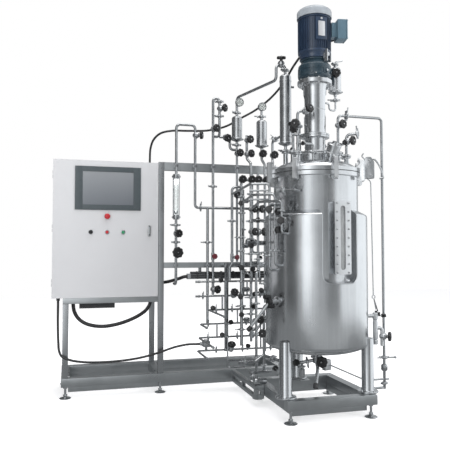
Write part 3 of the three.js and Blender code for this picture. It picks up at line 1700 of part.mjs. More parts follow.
// From the cabinet's side into the tray and along it to the junction box.
function trayCable() {
  const start = glandAt.tray;
  const { x, y, z } = start.at;
  const end = trayEnd - tray.box;
  const bend = [
    [69, -6, 2],
    [105, -22, 9],
    [137, -46, 20],
    [169, -72, 32],
  ].map(([dx, dy, dz]) => vec(x + dx, y + dy, z + dz));
  const points = [
    glandSeat(start),
    glandMouth(start, 34),
    ...bend,
    vec(x + 203, 15, trayCableZ + 2),
    vec(x + 245, 2, trayCableZ + 3),
    vec(x + 300, 0, trayCableZ + 1.5),
    vec(x + 500, 0, trayCableZ + 0.5),
    vec(end - 250, 0, trayCableZ),
    vec(end - 40, 0, trayCableZ),
    vec(end - 1 - 2 * seam, 0, trayCableZ),
  ];
  return cable(points, start.radius, 20);
}

// ---- The skid -----------------------------------------------------------------------------------
const skid = new THREE.Group();
const vessel = new THREE.Group();
vessel.position.set(vesselX, vesselY, 0);
skid.add(vessel);

skid.add(
  mesh("rack_base_frame", rackBaseFrame(), satin),
  mesh("link_rails", linkRails(), satin),
  mesh("cabinet_stand", cabinetStand(), satin),
  mesh("pipe_rack", pipeRack(), satin),
  mesh("cable_tray", cableTray(), satin),
  mesh("cabinet_shell", cabinetShell(), greyPaint),
  mesh("mounting_plate", mountingPlate(), satin),
  mesh("cabinet_door", cabinetDoor(), greyPaint),
  mesh("panel_housing", panelHousing(), blackPlastic),
  mesh("panel_screen", panelScreen(), darkGlass),
  mesh("emergency_stop", emergencyStop(), redPlastic),
  mesh("selector_knob", selectorKnob(), blackPlastic),
  mesh("stop_button", plunger(buttonX, buttonZ, 6), redPlastic),
  mesh("start_button", plunger(buttonX + buttonSpacing, buttonZ, 6), greenPlastic),
  mesh("door_lock_handle", lockHandle(), blackPlastic),
);

vessel.add(
  mesh("vessel_base_frame", vesselBaseFrame(), satin),
  mesh("vessel_shell", vesselShell(), steel),
  mesh("jacket", jacket(), steel),
  mesh("sight_glass_pane", sightPane(), clearGlass),
  mesh("sight_glass_frame", sightFrame(), steel),
  mesh("head_gasket", headGasket(), rubber),
  mesh("head_plate", headPlate(), steel),
  mesh("seal_housing", sealHousing(), steel),
  mesh("lantern", lantern(), steel),
  mesh("gearbox", gearbox(), tealPaint),
  mesh("motor_housing", motorHousing(), bluePaint),
  mesh("fan_cowl", fanCowl(), bluePaint),
  mesh("motor_rotor", motorRotor(), steel),
  mesh("terminal_box", terminalBox(), tealPaint),
  mesh("agitator_shaft", agitatorShaft(), steel),
  ...impellerHeights.map((z, k) => mesh(`impeller_${k + 1}`, impeller(z), steel)),
  mesh("outlet_valve", outletValve(), satin),
  handwheel("outlet_valve_wheel", outletValveAt, outletStem, outletWheel),
  mesh("sample_valve", sampleValve(), steel),
  mesh("sample_handle", sampleHandle(), blackPlastic),
);

skid.add(
  mesh("air_inlet_line", airInletLine(), steel),
  ...airValves.map(({ z, stem, wheel }, k) =>
    handwheel(`air_valve_wheel_${k + 1}`, onRack(inletX, z), stem, wheel),
  ),
  mesh("flow_meter_tube", meterTube(), clearGlass),
  mesh("flow_meter_float", meterFloat(), satin),
  mesh("sterile_air_line", sterileAirLine(), steel),
  handwheel("riser_valve_wheel", onRack(branchX, riserValve.z), riserValve.stem),
  mesh("exhaust_filter", exhaustFilter(), steel),
  mesh("inlet_air_filter", inletAirFilter(), steel),
  mesh("valve_manifold", valveManifold(), steel),
  handwheel("manifold_wheel", vec(manifoldX[4], manifoldY, manifoldRows[0]), front),
  mesh("utility_rows", utilityRows(), steel),
  mesh("drain_lines", drainLines(), steel),
  mesh("exhaust_condenser", exhaustCondenser(), steel),
  mesh("seal_pot", sealLubricationPot(), steel),
  mesh("drop_line", dropLine(), steel),
  mesh("spray_line", sprayLine(), steel),
  mesh("charge_line", chargeLine(), steel),
  mesh("inoculum_line", inoculumLine(), steel),
  mesh("motor_cable", motorCable(), rubber),
  mesh("hanging_cable", hangingCable(), rubber),
  mesh("instrument_cable", instrumentCable(), rubber),
  mesh("tray_cable", trayCable(), rubber),
);

// The origin goes under the middle of the skid's box, measured without the cables.
const extent = new THREE.Box3();
skid.updateMatrixWorld(true);
skid.traverse((piece) => {
  if (piece.isMesh && !piece.name.endsWith("_cable")) extent.expandByObject(piece);
});
const middle = extent.getCenter(vec(0, 0, 0));
skid.position.set(-middle.x, -middle.y, -extent.min.z);

const bioreactor = new THREE.Group();
bioreactor.add(skid);
export default bioreactor;
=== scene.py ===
import math

import bmesh
import bpy
from mathutils import Matrix, Vector


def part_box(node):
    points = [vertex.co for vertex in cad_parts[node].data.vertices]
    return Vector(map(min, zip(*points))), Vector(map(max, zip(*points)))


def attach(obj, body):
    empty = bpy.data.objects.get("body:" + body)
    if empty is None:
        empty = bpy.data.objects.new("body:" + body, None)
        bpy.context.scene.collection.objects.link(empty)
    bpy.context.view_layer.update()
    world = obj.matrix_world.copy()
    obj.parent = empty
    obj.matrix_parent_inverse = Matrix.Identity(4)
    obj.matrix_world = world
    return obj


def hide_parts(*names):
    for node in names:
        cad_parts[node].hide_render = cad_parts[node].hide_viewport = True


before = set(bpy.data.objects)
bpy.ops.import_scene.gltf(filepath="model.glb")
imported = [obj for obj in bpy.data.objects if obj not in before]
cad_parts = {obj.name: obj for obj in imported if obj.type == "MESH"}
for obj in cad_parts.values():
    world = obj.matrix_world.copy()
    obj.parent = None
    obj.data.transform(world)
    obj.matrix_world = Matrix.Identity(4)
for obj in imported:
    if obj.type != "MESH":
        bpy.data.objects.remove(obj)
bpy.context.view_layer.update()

# ---- The view: camera, floor and lamps ----------------------------------------------------------
# A white studio with soft lamps overhead, to the left and to the right.
# Grey cards out of view give the polished steel something darker to mirror.
scene = bpy.context.scene
scene.view_settings.view_transform = "Standard"

eye = bpy.data.cameras.new("eye")
eye.lens = 45.4
eye.clip_end = 60
camera = bpy.data.objects.new("eye", eye)
camera.location = (-1.020, -3.829, 1.030)
camera.rotation_euler = (math.radians(92.5), 0, math.radians(-15.5))
scene.collection.objects.link(camera)
scene.camera = camera


def feed(tree, made, sockets):
    """Gives each named socket of a node another node's output, or a plain value."""
    for key, value in sockets.items():
        if isinstance(value, bpy.types.NodeSocket):
            tree.links.new(value, made.inputs[key])
        else:
            made.inputs[key].default_value = value
    return made


def add(tree, kind, sockets={}, **settings):
    made = tree.nodes.new(kind)
    for key, value in settings.items():
        setattr(made, key, value)
    return feed(tree, made, sockets)


def glow(tree, colour, strength):
    return add(tree, "ShaderNodeBackground", {"Color": (*colour, 1), "Strength": strength}).outputs[0]


def seen_by(tree, *kinds):
    """1 for rays of the given kinds, 0 for all others."""
    rays = add(tree, "ShaderNodeLightPath").outputs
    found = rays[f"Is {kinds[0]} Ray"]
    for kind in kinds[1:]:
        found = add(tree, "ShaderNodeMath", {0: found, 1: rays[f"Is {kind} Ray"]},
            operation="MAXIMUM").outputs[0]
    return found


def either_shader(tree, choice, when_not, when):
    return add(tree, "ShaderNodeMixShader", {"Fac": choice, 1: when_not, 2: when}).outputs[0]


world = bpy.data.worlds.new("studio")
scene.world = world
world.use_nodes = True
tree = world.node_tree
tree.nodes.clear()
soft, mirrored = glow(tree, (0.98, 0.985, 1.0), 0.5), glow(tree, (0.97, 0.985, 1.0), 0.6)
shine = either_shader(tree, seen_by(tree, "Glossy"), soft, mirrored)
shine = either_shader(tree, seen_by(tree, "Camera", "Transmission"), shine, glow(tree, (1, 1, 1), 1.0))
add(tree, "ShaderNodeOutputWorld", {"Surface": shine})


def lamp(name, place, target, width, height, watts):
    data = bpy.data.lights.new(name, "AREA")
    data.shape = "RECTANGLE"
    data.size, data.size_y = width, height
    data.energy = watts
    made = bpy.data.objects.new(name, data)
    made.location = place
    made.rotation_euler = (Vector(target) - Vector(place)).to_track_quat("-Z", "Y").to_euler()
    scene.collection.objects.link(made)
    return made


lamp("overhead", (0.2, -1.2, 5.6), (0, 0, 0.8), 4.5, 3.5, 130)
lamp("left_bank", (-3.6, -4.7, 2.6), (0, 0, 1.1), 1.5, 3.4, 92)
lamp("right_bank", (3.9, -3.6, 2.2), (0.2, 0, 1.2), 1.4, 3.4, 80)
lamp("rear_bank", (1.2, 4.6, 3.2), (0, 0, 1.2), 3.0, 2.4, 60)


def panel(name, corners, colour, roughness=0.9):
    mesh = bpy.data.meshes.new(name)
    mesh.from_pydata([Vector(c) for c in corners], [], [tuple(range(len(corners)))])
    paint = bpy.data.materials.new(name)
    paint.use_nodes = True
    shader = paint.node_tree.nodes["Principled BSDF"]
    shader.inputs["Base Color"].default_value = (*colour, 1)
    shader.inputs["Roughness"].default_value = roughness
    mesh.materials.append(paint)
    made = bpy.data.objects.new(name, mesh)
    scene.collection.objects.link(made)
    return made, paint


floor_edge, floor_height = 9, -0.0006  # metres; a hair under the feet
floor_paint = panel("floor", [(-floor_edge, -floor_edge, floor_height),
    (floor_edge, -floor_edge, floor_height), (floor_edge, floor_edge, floor_height),
    (-floor_edge, floor_edge, floor_height)], (0.93, 0.93, 0.94))[1]
# Its own light lifts it to white for the camera while the shadow stays; mirrors see a duller workshop floor.
tree = floor_paint.node_tree
plain = tree.nodes["Principled BSDF"].outputs[0]
lift = add(tree, "ShaderNodeEmission", {"Strength": 0.5})
lifted = add(tree, "ShaderNodeAddShader", {0: plain, 1: lift.outputs[0]})
dim = add(tree, "ShaderNodeEmission", {"Color": (0.52, 0.54, 0.55, 1)})
shine = either_shader(tree, seen_by(tree, "Glossy"), plain, dim.outputs[0])
shine = either_shader(tree, seen_by(tree, "Camera", "Transmission"), shine, lifted.outputs[0])
feed(tree, tree.nodes["Material Output"], {"Surface": shine})

low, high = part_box("vessel_shell")
vessel_axis = (low + high) / 2


card_distance, card_height = 3.2, 4.4


def grey_card(name, bearing, half_angle, tone):
    """An upright card round the vessel, seen in reflections alone; bearings run anticlockwise from +X."""
    half = math.radians(half_angle)
    ends = [(vessel_axis.x + card_distance * math.cos(turn), vessel_axis.y + card_distance * math.sin(turn))
        for turn in (math.radians(bearing) - half, math.radians(bearing) + half)]
    mirror_card(name, [(*ends[0], 0), (*ends[1], 0), (*ends[1], card_height), (*ends[0], card_height)], tone)


def mirror_card(name, corners, tone):
    card, paint = panel(name, corners, (0, 0, 0), 1.0)
    tree = paint.node_tree
    shine = add(tree, "ShaderNodeEmission", {"Color": (tone, tone * 1.04, tone * 1.07, 1)})
    feed(tree, tree.nodes["Material Output"], {"Surface": shine.outputs[0]})
    for ray in ("camera", "diffuse", "transmission", "volume_scatter", "shadow"):
        setattr(card, "visible_" + ray, False)


mirror_card("dark_floor", [(-2.4, -1.7, 0), (2.6, -1.7, 0), (2.6, 2.0, 0), (-2.4, 2.0, 0)], 0.29)

for number, (bearing, half_angle, tone) in enumerate([(150, 26, 0.13), (192, 13, 0.13), (211, 6, 0.4),
    (226, 9, 1.2), (242, 7, 0.72), (258, 9, 0.5), (282, 15, 0.24), (318, 21, 1.05), (4, 25, 1.3),
    (52, 22, 0.5), (98, 22, 0.18)]):
    grey_card(f"card_{number}", bearing, half_angle, tone)

# ---- Cables -------------------------------------------------------------------------------------
# Four black cables with flexible jackets: one from the cabinet's top to the motor, a hanging bundle under
# the cabinet, a long instrument lead along the floor frame and one in the tray behind the pipes.
# Each leaves a gland, follows a smooth line through its points and ends in another gland.
low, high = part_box("pipe_rack")
corner = Vector((low.x - 0.646, low.y + 0.020, 0))  # middle of the stand's front left post, on the floor


def metres(x, y, z):
    """A point given in millimetres from the stand's front left post, in the skid's own frame."""
    return corner + Vector((x, y, z)) / 1000


def mix(tree, low_colour, high_colour, mask):
    sockets = {0: mask, 6: (*low_colour, 1), 7: (*high_colour, 1)}
    return add(tree, "ShaderNodeMix", sockets, data_type="RGBA").outputs[2]


def spread(tree, value, low, high, start=0.0, end=1.0):
    sockets = {"Value": value, "From Min": start, "From Max": end, "To Min": low, "To Max": high}
    return add(tree, "ShaderNodeMapRange", sockets).outputs["Result"]


def effect(name, inputs, outputs):
    """An empty group of shader nodes, with its own object's coordinates and its named inputs."""
    tree = bpy.data.node_groups.new(name, "ShaderNodeTree")
    for title, (kind, value) in inputs.items():
        socket = tree.interface.new_socket(title, in_out="INPUT", socket_type="NodeSocket" + kind)
        socket.default_value = value
    for title, kind in outputs.items():
        tree.interface.new_socket(title, in_out="OUTPUT", socket_type="NodeSocket" + kind)
    return tree, add(tree, "ShaderNodeTexCoord").outputs["Object"], add(tree, "NodeGroupInput").outputs


# Fine parallel grain, as rolling, brushing or turning leaves: noise stretched along one way.
grain, where, given = effect("fine_grain", {"Stretch": ("Vector", (40, 40, 40)), "Depth": ("Float", 0.2)},
    {"Mask": "Float", "Normal": "Vector"})
stretched = add(grain, "ShaderNodeVectorMath", {0: where, 1: given["Stretch"]}, operation="MULTIPLY")
fibres = add(grain, "ShaderNodeTexNoise", {"Scale": 1, "Detail": 4,
    "Vector": stretched.outputs[0]}).outputs["Fac"]
relief = add(grain, "ShaderNodeBump", {"Distance": 0.001, "Strength": given["Depth"], "Height": fibres})
add(grain, "NodeGroupOutput", {"Mask": fibres, "Normal": relief.outputs["Normal"]})

# Cloudy unevenness: wiped film, handling and slight waviness of sheet.
clouds, where, given = effect("cloudy_marks", {"Size": ("Float", 6.0), "Contrast": ("Float", 0.18)},
    {"Mask": "Float"})
puffs = add(clouds, "ShaderNodeTexNoise", {"Detail": 5, "Roughness": 0.62, "Vector": where,
    "Scale": given["Size"]})
below = add(clouds, "ShaderNodeMath", {0: 0.5, 1: given["Contrast"]}, operation="SUBTRACT")
above = add(clouds, "ShaderNodeMath", {0: 0.5, 1: given["Contrast"]})
clear = add(clouds, "ShaderNodeMapRange", {"Value": puffs.outputs["Fac"], "From Min": below.outputs[0],
    "From Max": above.outputs[0]})
add(clouds, "NodeGroupOutput", {"Mask": clear.outputs["Result"]})


def new_material(name, roughness, metallic=0.0):
    made = bpy.data.materials.new(name)
    made.use_nodes = True
    shader = made.node_tree.nodes["Principled BSDF"]
    shader.inputs["Roughness"].default_value = roughness
    shader.inputs["Metallic"].default_value = metallic
    return made, made.node_tree, shader


def use(tree, group, **values):
    return add(tree, "ShaderNodeGroup", values, node_tree=group)


def shades(colour, low, high, lift=0.0):
    """A darker and a lighter shade of a colour."""
    return tuple(low * c for c in colour), tuple(min(1.0, high * c + lift) for c in colour)


def mottled(name, shade_pair, roughness, less, more, stretch, depth, cloud, contrast=0.3):
    """A finish whose shade and gloss drift in clouds over a finely textured skin."""
    made, tree, shader = new_material(name, roughness)
    marks = use(tree, clouds, Size=cloud, Contrast=contrast).outputs["Mask"]
    skin = use(tree, grain, Stretch=(stretch, stretch, stretch), Depth=depth)
    feed(tree, shader, {"Base Color": mix(tree, *shade_pair, marks), "Normal": skin.outputs["Normal"],
        "Roughness": spread(tree, marks, roughness - less, roughness + more)})
    return made


# Extruded cable jacket: near black, with dust that dulls it in patches.
cable_black = mottled("cable_black", ((0.012, 0.012, 0.013), (0.035, 0.035, 0.036)), 0.5, 0.1, 0.12, 900,
    0.25, 22.0, 0.2)


def smooth_line(points, steps):
    """Points on the centripetal Catmull-Rom curve through the given points."""
    ends = [2 * points[0] - points[1], *points, 2 * points[-1] - points[-2]]
    line = []
    for k in range(1, len(ends) - 2):
        a, b, c, d = ends[k - 1 : k + 3]
        t1 = max((b - a).length, 1e-6) ** 0.5
        t2 = t1 + max((c - b).length, 1e-6) ** 0.5
        t3 = t2 + max((d - c).length, 1e-6) ** 0.5
        for s in range(steps):
            t = t1 + (t2 - t1) * s / steps
            ab = a.lerp(b, t / t1)
            bc = b.lerp(c, (t - t1) / (t2 - t1))
            cd = c.lerp(d, (t - t2) / (t3 - t2))
            line.append(ab.lerp(bc, t / t2).lerp(bc.lerp(cd, (t - t1) / (t3 - t1)), (t - t1) / (t2 - t1)))
    return line + [points[-1]]


def lay_cable(name, node, diameter, points):
    points = [metres(*p) for p in points]
    line = smooth_line(points, 8)
    curve = bpy.data.curves.new(name, "CURVE")
    curve.dimensions = "3D"
    curve.bevel_depth = diameter / 2
    curve.bevel_resolution = 4
    curve.use_fill_caps = True
    spline = curve.splines.new("POLY")
    spline.points.add(len(line) - 1)
    for point, place in zip(spline.points, line):
        point.co = (*place, 1)
    curve.materials.append(cable_black)
    made = bpy.data.objects.new(name, curve)
    scene.collection.objects.link(made)
    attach(made, "skid")
    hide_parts(node)
    return made


lay_cable("motor_lead", "motor_cable", 0.016, [(600, 130, 1666.9), (600, 130, 1725.3), (602, 118, 1790),
    (618, 84, 1850), (662, 30, 1893), (740, -8, 1910), (860, -16, 1915), (1003, -14, 1925), (1100, -6, 1948),
    (1180, 8, 1980), (1280, 0, 2040), (1370, -50, 2090), (1435, -150, 2140), (1474, -270, 2190),
    (1496, -400, 2250), (1518, -500, 2320), (1560, -570, 2385), (1625, -612, 2425), (1692, -628, 2446),
    (1738, -652, 2458), (1748.9, -683.3, 2459.8), (1745.6, -702, 2459.8), (1741.6, -725, 2459.8),])
lay_cable("cabinet_bundle", "hanging_cable", 0.026, [(600, 62, 691.7), (600, 62, 653.3), (591.8, 60.8,
    622.3), (567.1, 57.1, 588.3), (526, 51.3, 558.3), (468.5, 44.2, 530.3), (400, 38.3, 506.3),
    (329.8, 36, 490.3), (260.2, 37.8, 483.3), (189, 43.6, 490.3), (129.8, 50.8, 510.3), (86, 57, 545.3),
    (60.2, 60.8, 590.3), (52, 62, 633.3), (52, 62, 691.7),])
lay_cable("instrument_lead", "instrument_cable", 0.016, [(-52, 62, 691.7), (-52, 62, 633.3), (-52, 56, 540),
    (-50, 44, 450), (-46, 22, 380), (-40, -10, 330), (-20, -38, 296), (38.7, -48, 270), (121.8, -50, 254),
    (224.5, -50, 247), (341.9, -50, 248), (454.3, -50, 256), (557, -50, 272), (659.7, -52, 298),
    (762.4, -62, 330), (855.3, -80, 348), (910, -96, 350), (933, -96, 350), (958.4, -96, 350),])
lay_cable("tray_lead", "tray_cable", 0.024, [(644.6, 110, 785.3), (677, 110, 785.3), (712, 104, 787.3),
    (748, 88, 794.3), (780, 64, 805.3), (812, 38, 817.3), (846, 15, 830.6), (888, 2, 831.6), (943, 0, 830.1),
    (1143, 0, 829.1), (1247.7, 0, 828.6), (1457.7, 0, 828.6), (1496.1, 0, 828.6),])

# ---- Floor frames -------------------------------------------------------------------------------
# Two rings of 60 mm square stainless tube over a set-back plinth, and two thin rails that tie them.
# The tube is mill-brushed along its length, welded at the corners and ground flush.
UP = Vector((0, 0, 1))
AXIS_X = Vector((1, 0, 0))
FRONT = Vector((0, -1, 0))


def brushed_steel(name, tone, roughness, stretch, depth=0.1, cloud=5.0):
    """Stainless steel with a grain one way, and faint clouds where it has been wiped."""
    made, tree, shader = new_material(name, roughness, 1.0)
    lines = use(tree, grain, Stretch=stretch, Depth=depth).outputs
    marks = use(tree, clouds, Size=cloud, Contrast=0.22).outputs["Mask"]
    half = add(tree, "ShaderNodeMath", {0: marks, 1: 0.5}, operation="MULTIPLY")
    blend = add(tree, "ShaderNodeMath", {0: lines["Mask"], 1: 0.45, 2: half.outputs[0]},
        operation="MULTIPLY_ADD")
    feed(tree, shader, {"Base Color": mix(tree, *shades(tone, 0.80, 1.12), blend.outputs[0]),
        "Normal": lines["Normal"], "Roughness": spread(tree, marks, roughness - 0.05, roughness + 0.07)})
    return made


class Made:
    """Closed shapes gathered for one piece, in millimetres from the stand's front left post."""

    def __init__(self, finish=0):
        self.mesh = bmesh.new()
        self.finish = finish

    def faces(self, points, loops):
        corners = [self.mesh.verts.new(p) for p in points]
        for loop in loops:
            face = self.mesh.faces.new([corners[i] for i in loop])
            face.material_index = self.finish
        return corners

    def turned(self, profile, at, axis=UP, steps=32, lobes=0, dip=0.0):
        """A profile of (radius, height) turned round an axis, closed on the axis or on itself.
        Its widest part can be scalloped into lobes."""
        widest = max(radius for radius, height in profile)
        turn = UP.rotation_difference(Vector(axis).normalized())
        at = Vector(at)
        ring_shaped = profile[0] == profile[-1]
        rows = profile[:-1] if ring_shaped else profile
        points, index = [], []
        for radius, height in rows:
            if radius < 1e-6:
                index.append([len(points)] * steps)
                points.append(at + turn @ Vector((0, 0, height)))
                continue
            index.append(list(range(len(points), len(points) + steps)))
            for k in range(steps):
                angle = 2 * math.pi * k / steps
                near = max(0.0, radius / widest - 0.6) / 0.4
                reach = radius * (1 - dip * near * (0.5 - 0.5 * math.cos(lobes * angle)))
                points.append(at + turn @ Vector((reach * math.cos(angle), reach * math.sin(angle), height)))
        loops = []
        pairs = list(zip(index, index[1:])) + ([(index[-1], index[0])] if ring_shaped else [])
        for lower, upper in pairs:
            for k in range(steps):
                loop = [lower[k], lower[(k + 1) % steps], upper[(k + 1) % steps], upper[k]]
                loop = [p for n, p in enumerate(loop) if p not in loop[:n]]
                if len(loop) > 2:
                    loops.append(loop)
        self.faces(points, loops)
        return self

    def rod(self, start, end, radius, steps=16, end_radius=None, soft=None):
        """A straight round bar with softened ends."""
        start, end = Vector(start), Vector(end)
        length = (end - start).length
        last = radius if end_radius is None else end_radius
        edge = min(1.2, radius * 0.2, length * 0.2) if soft is None else soft
        profile = [(0, 0), (radius - edge, 0), (radius, edge), (last, length - edge), (last - edge, length),
            (0, length)]
        return self.turned(profile, start, end - start, steps)

    def slab(self, low, high, soft=1.5, turn=0.0, about=(0, 0)):
        """A box with its edges softened, turned about an upright line if need be."""
        cube = bmesh.new()
        bmesh.ops.create_cube(cube, size=1)
        low, high = Vector(low), Vector(high)
        size = high - low
        bmesh.ops.transform(cube, verts=cube.verts,
            matrix=Matrix.Translation((low + high) / 2) @ Matrix.Diagonal((*size, 1)))
        soft = min(soft, 0.45 * min(size))
        if soft > 0.05:
            bmesh.ops.bevel(cube, geom=cube.edges[:], offset=soft, segments=2, profile=0.7, affect="EDGES")
        if turn:
            centre = Matrix.Translation((about[0], about[1], 0))
            spin = centre @ Matrix.Rotation(math.radians(turn), 4, "Z") @ centre.inverted()
            bmesh.ops.transform(cube, verts=cube.verts, matrix=spin)
        return self.take(cube)

    def prism(self, outline, at, across, along, depth, soft=0.0):
        """A flat outline pushed through a depth: across and along are the outline's own two directions."""
        at, across, along = Vector(at), Vector(across).normalized(), Vector(along).normalized()
        through = across.cross(along) * depth
        cut = bmesh.new()
        base = [cut.verts.new(at + across * x + along * y) for x, y in outline]
        lid = [cut.verts.new(v.co + through) for v in base]
        cut.faces.new(base[::-1])
        cut.faces.new(lid)
        count = len(base)
        for k in range(count):
            cut.faces.new([base[k], base[(k + 1) % count], lid[(k + 1) % count], lid[k]])
        if soft:
            bmesh.ops.bevel(cut, geom=cut.edges[:], offset=soft, segments=2, profile=0.7, affect="EDGES")
        return self.take(cut)

    def tube(self, corners, radius, bend=None, sides=14):
        """A round tube along straight runs joined by smooth bends."""
        return self.along(bent_line([Vector(c) for c in corners], bend or 3 * radius), radius, sides)

    def along(self, line, radius, sides=14):
        points, loops = [], []
        way = (line[1] - line[0]).normalized()
        side = way.orthogonal().normalized()
        for k, place in enumerate(line):
            before = (place - line[k - 1]).normalized() if k else way
            after = (line[k + 1] - place).normalized() if k + 1 < len(line) else before
            ahead = (before + after).normalized()
            side = (side - ahead * side.dot(ahead)).normalized()
            over = ahead.cross(side)
            for s in range(sides):
                angle = 2 * math.pi * s / sides
                points.append(place + radius * (math.cos(angle) * side + math.sin(angle) * over))
        for k in range(len(line) - 1):
            for s in range(sides):
                a, b = k * sides + s, k * sides + (s + 1) % sides
                loops.append([a, b, b + sides, a + sides])
        loops.append(list(range(sides))[::-1])
        loops.append(list(range((len(line) - 1) * sides, len(line) * sides)))
        self.faces(points, loops)
        return self

    def take(self, other):
        """Takes in another bmesh's shapes, painted with the finish in hand."""
        base = {v: self.mesh.verts.new(v.co) for v in other.verts}
        for face in other.faces:
            self.mesh.faces.new([base[v] for v in face.verts]).material_index = self.finish
        other.free()
        return self

    def settle(self, name, materials, nodes=(), slot=None, body="skid"):
        """Finishes the piece and puts it on its body, in place of the plain solids that it stands for."""
        return settle(self.object(name, materials), body, nodes)

    def object(self, name, materials, sharp=32, origin=None):
        bmesh.ops.recalc_face_normals(self.mesh, faces=self.mesh.faces[:])
        bmesh.ops.transform(self.mesh, verts=self.mesh.verts[:], matrix=Matrix.Translation(corner
            if origin is None else origin) @ Matrix.Scale(0.001, 4))
        mesh = bpy.data.meshes.new(name)
        self.mesh.to_mesh(mesh)
        self.mesh.free()
        for material in materials:
            mesh.materials.append(material)
        mesh.shade_smooth()
        mesh.set_sharp_from_angle(angle=math.radians(sharp))
        made = bpy.data.objects.new(name, mesh)
        scene.collection.objects.link(made)
        return made


def bent_line(corners, bend):
    """The middle line of a bent tube: its corners rounded with an arc of the bend's radius."""
    line = [corners[0]]
    for before, at, after in zip(corners, corners[1:], corners[2:]):
        into, out = (at - before).normalized(), (after - at).normalized()
        angle = into.angle(out)
        if angle < 0.02:
            continue
        room = 0.49 * min((at - before).length, (after - at).length)
        reach = min(bend * math.tan(angle / 2), room)
        turn_radius = reach / math.tan(angle / 2)
        side = (out - into * into.dot(out)).normalized()
        centre = at - into * reach + side * turn_radius
        steps = max(2, round(math.degrees(angle) / 13))
        for s in range(steps + 1):
            part = angle * s / steps
            line.append(centre - side * turn_radius * math.cos(part) + into * turn_radius * math.sin(part))
    line.append(corners[-1])
    return line


def settle(made, body, nodes=()):
    """Puts a finished piece on its body, in place of the plain solids that it stands for."""
    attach(made, body)
    if nodes:
        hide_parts(*([nodes] if isinstance(nodes, str) else nodes))
    return made


# Three copies of the brushed tube steel, grain along each member. The crossways copy is painted darker as
# shade on the members that face sideways, and the upright copy is slightly darker, also as painted shade.
frame_long = brushed_steel("frame_steel_lengthways", (0.48, 0.497, 0.505), 0.30, (6, 160, 160))
frame_across_painted_shade = brushed_steel("frame_steel_crossways_painted_shade", (0.40, 0.415, 0.425), 0.30, (160, 6, 160))
frame_upright_painted_shade = brushed_steel("frame_steel_upright_painted_shade", (0.46, 0.472, 0.482), 0.28, (160, 160, 6))
zinc = brushed_steel("bright_zinc", (0.60, 0.61, 0.62), 0.24, (90, 90, 90), 0.08, 30)
frame_finishes = [frame_long, frame_across_painted_shade, frame_upright_painted_shade, zinc]
LONG, ACROSS, UPRIGHT, BRIGHT = range(4)


def levelling_foot(made, x, y, top=81):
    """A dished foot with a rubber-edged disc, a threaded stem and two lock nuts."""
    made.finish = BRIGHT
    made.turned([(0, 0), (38, 0), (40, 1.5), (40, 4), (36, 6.5), (24, 9), (13, 14), (9.5, 16), (8, 18),
        (8, 40), (8, top), (0, top)], (x, y, 0), steps=28)
    for z in (18, top - 12):
        made.turned([(0, z), (14.5, z), (15.5, z + 1), (15.5, z + 9), (14.5, z + 10), (0, z + 10)],
            (x, y, 0), steps=6)


def tube_ring(made, x0, x1, y0, y1, z0, z1, wide, soft=3.0):
    made.finish = LONG
    for y in (y0, y1 - wide):
        made.slab((x0, y, z0), (x1, y + wide, z1), soft)
    made.finish = ACROSS
    for x in (x0, x1 - wide):
        made.slab((x + 0.4, y0 + wide + 0.3, z0 + 0.4), (x + wide - 0.4, y1 - wide - 0.3, z1 - 0.4), soft)


def weld(made, start, end, radius=2.2):
    """A short bead of weld."""
    start, end = Vector(start), Vector(end)
    count = max(3, round((end - start).length / 5))
    made.along([start.lerp(end, k / count) for k in range(count + 1)], radius, 6)


rack_base = Made()
tube_ring(rack_base, -26, 1636, -26, 476, 80, 140, 60)
rack_base.finish = ACROSS
rack_base.slab((636, 34.3, 80.4), (696, 415.7, 139.6), 3)
tube_ring(rack_base, 22, 1588, 22, 428, 37, 80.2, 12, 1)
for x in (4, 666, 1606):
    for y in (4, 446):
        levelling_foot(rack_base, x, y)
rack_base.finish = BRIGHT
for x in (-26, 1576):
    for y in (34, 416):
        weld(rack_base, (x + 2, y, 140), (x + 58, y, 140))
settle(rack_base.object("rack_floor_frame", frame_finishes), "skid", "rack_base_frame")

axis_x, axis_y = 1558, -741  # the vessel's axis, from the stand's front left post
vessel_base = Made()
left, right_side, front_side, back_side = axis_x - 295.4, axis_x + 295.4, axis_y - 242, axis_y + 418
tube_ring(vessel_base, left, right_side, front_side, back_side, 80, 140, 60)
tube_ring(vessel_base, left + 48, right_side - 48, front_side + 48, back_side - 48, 37, 80.2, 12, 1)
vessel_base.finish = LONG
vessel_base.slab((axis_x - 65, axis_y + 253, 80.4), (axis_x + 65, axis_y + 358.3, 139.6), 3)
for x in (axis_x - 265.4, axis_x + 265.4):
    for y in (axis_y - 212, axis_y + 388):
        levelling_foot(vessel_base, x, y)
vessel_base.finish = BRIGHT
for x in (left, right_side - 60):
    for y in (front_side + 60, back_side - 60):
        weld(vessel_base, (x + 2, y, 140), (x + 58, y, 140))
settle(vessel_base.object("vessel_floor_frame", frame_finishes), "skid", "vessel_base_frame")

rails = Made(ACROSS)
rail_x = left - 66.3
for z in (55, 115):
    rails.finish = ACROSS
    rails.slab((rail_x, -571, z), (rail_x + 25, -26.4, z + 25), 2)
    rails.finish = LONG
    rails.slab((rail_x + 25.2, -571, z), (left - 0.5, -546, z + 25), 2)
rails.finish = UPRIGHT
for x, y in ((rail_x, -571), (rail_x, -298.6), (rail_x, -51.3), (left - 25.7, -571)):
    rails.slab((x, y, 80.2), (x + 25, y + 25, 114.8), 2)
settle(rails.object("tie_rails", frame_finishes), "skid", "link_rails")
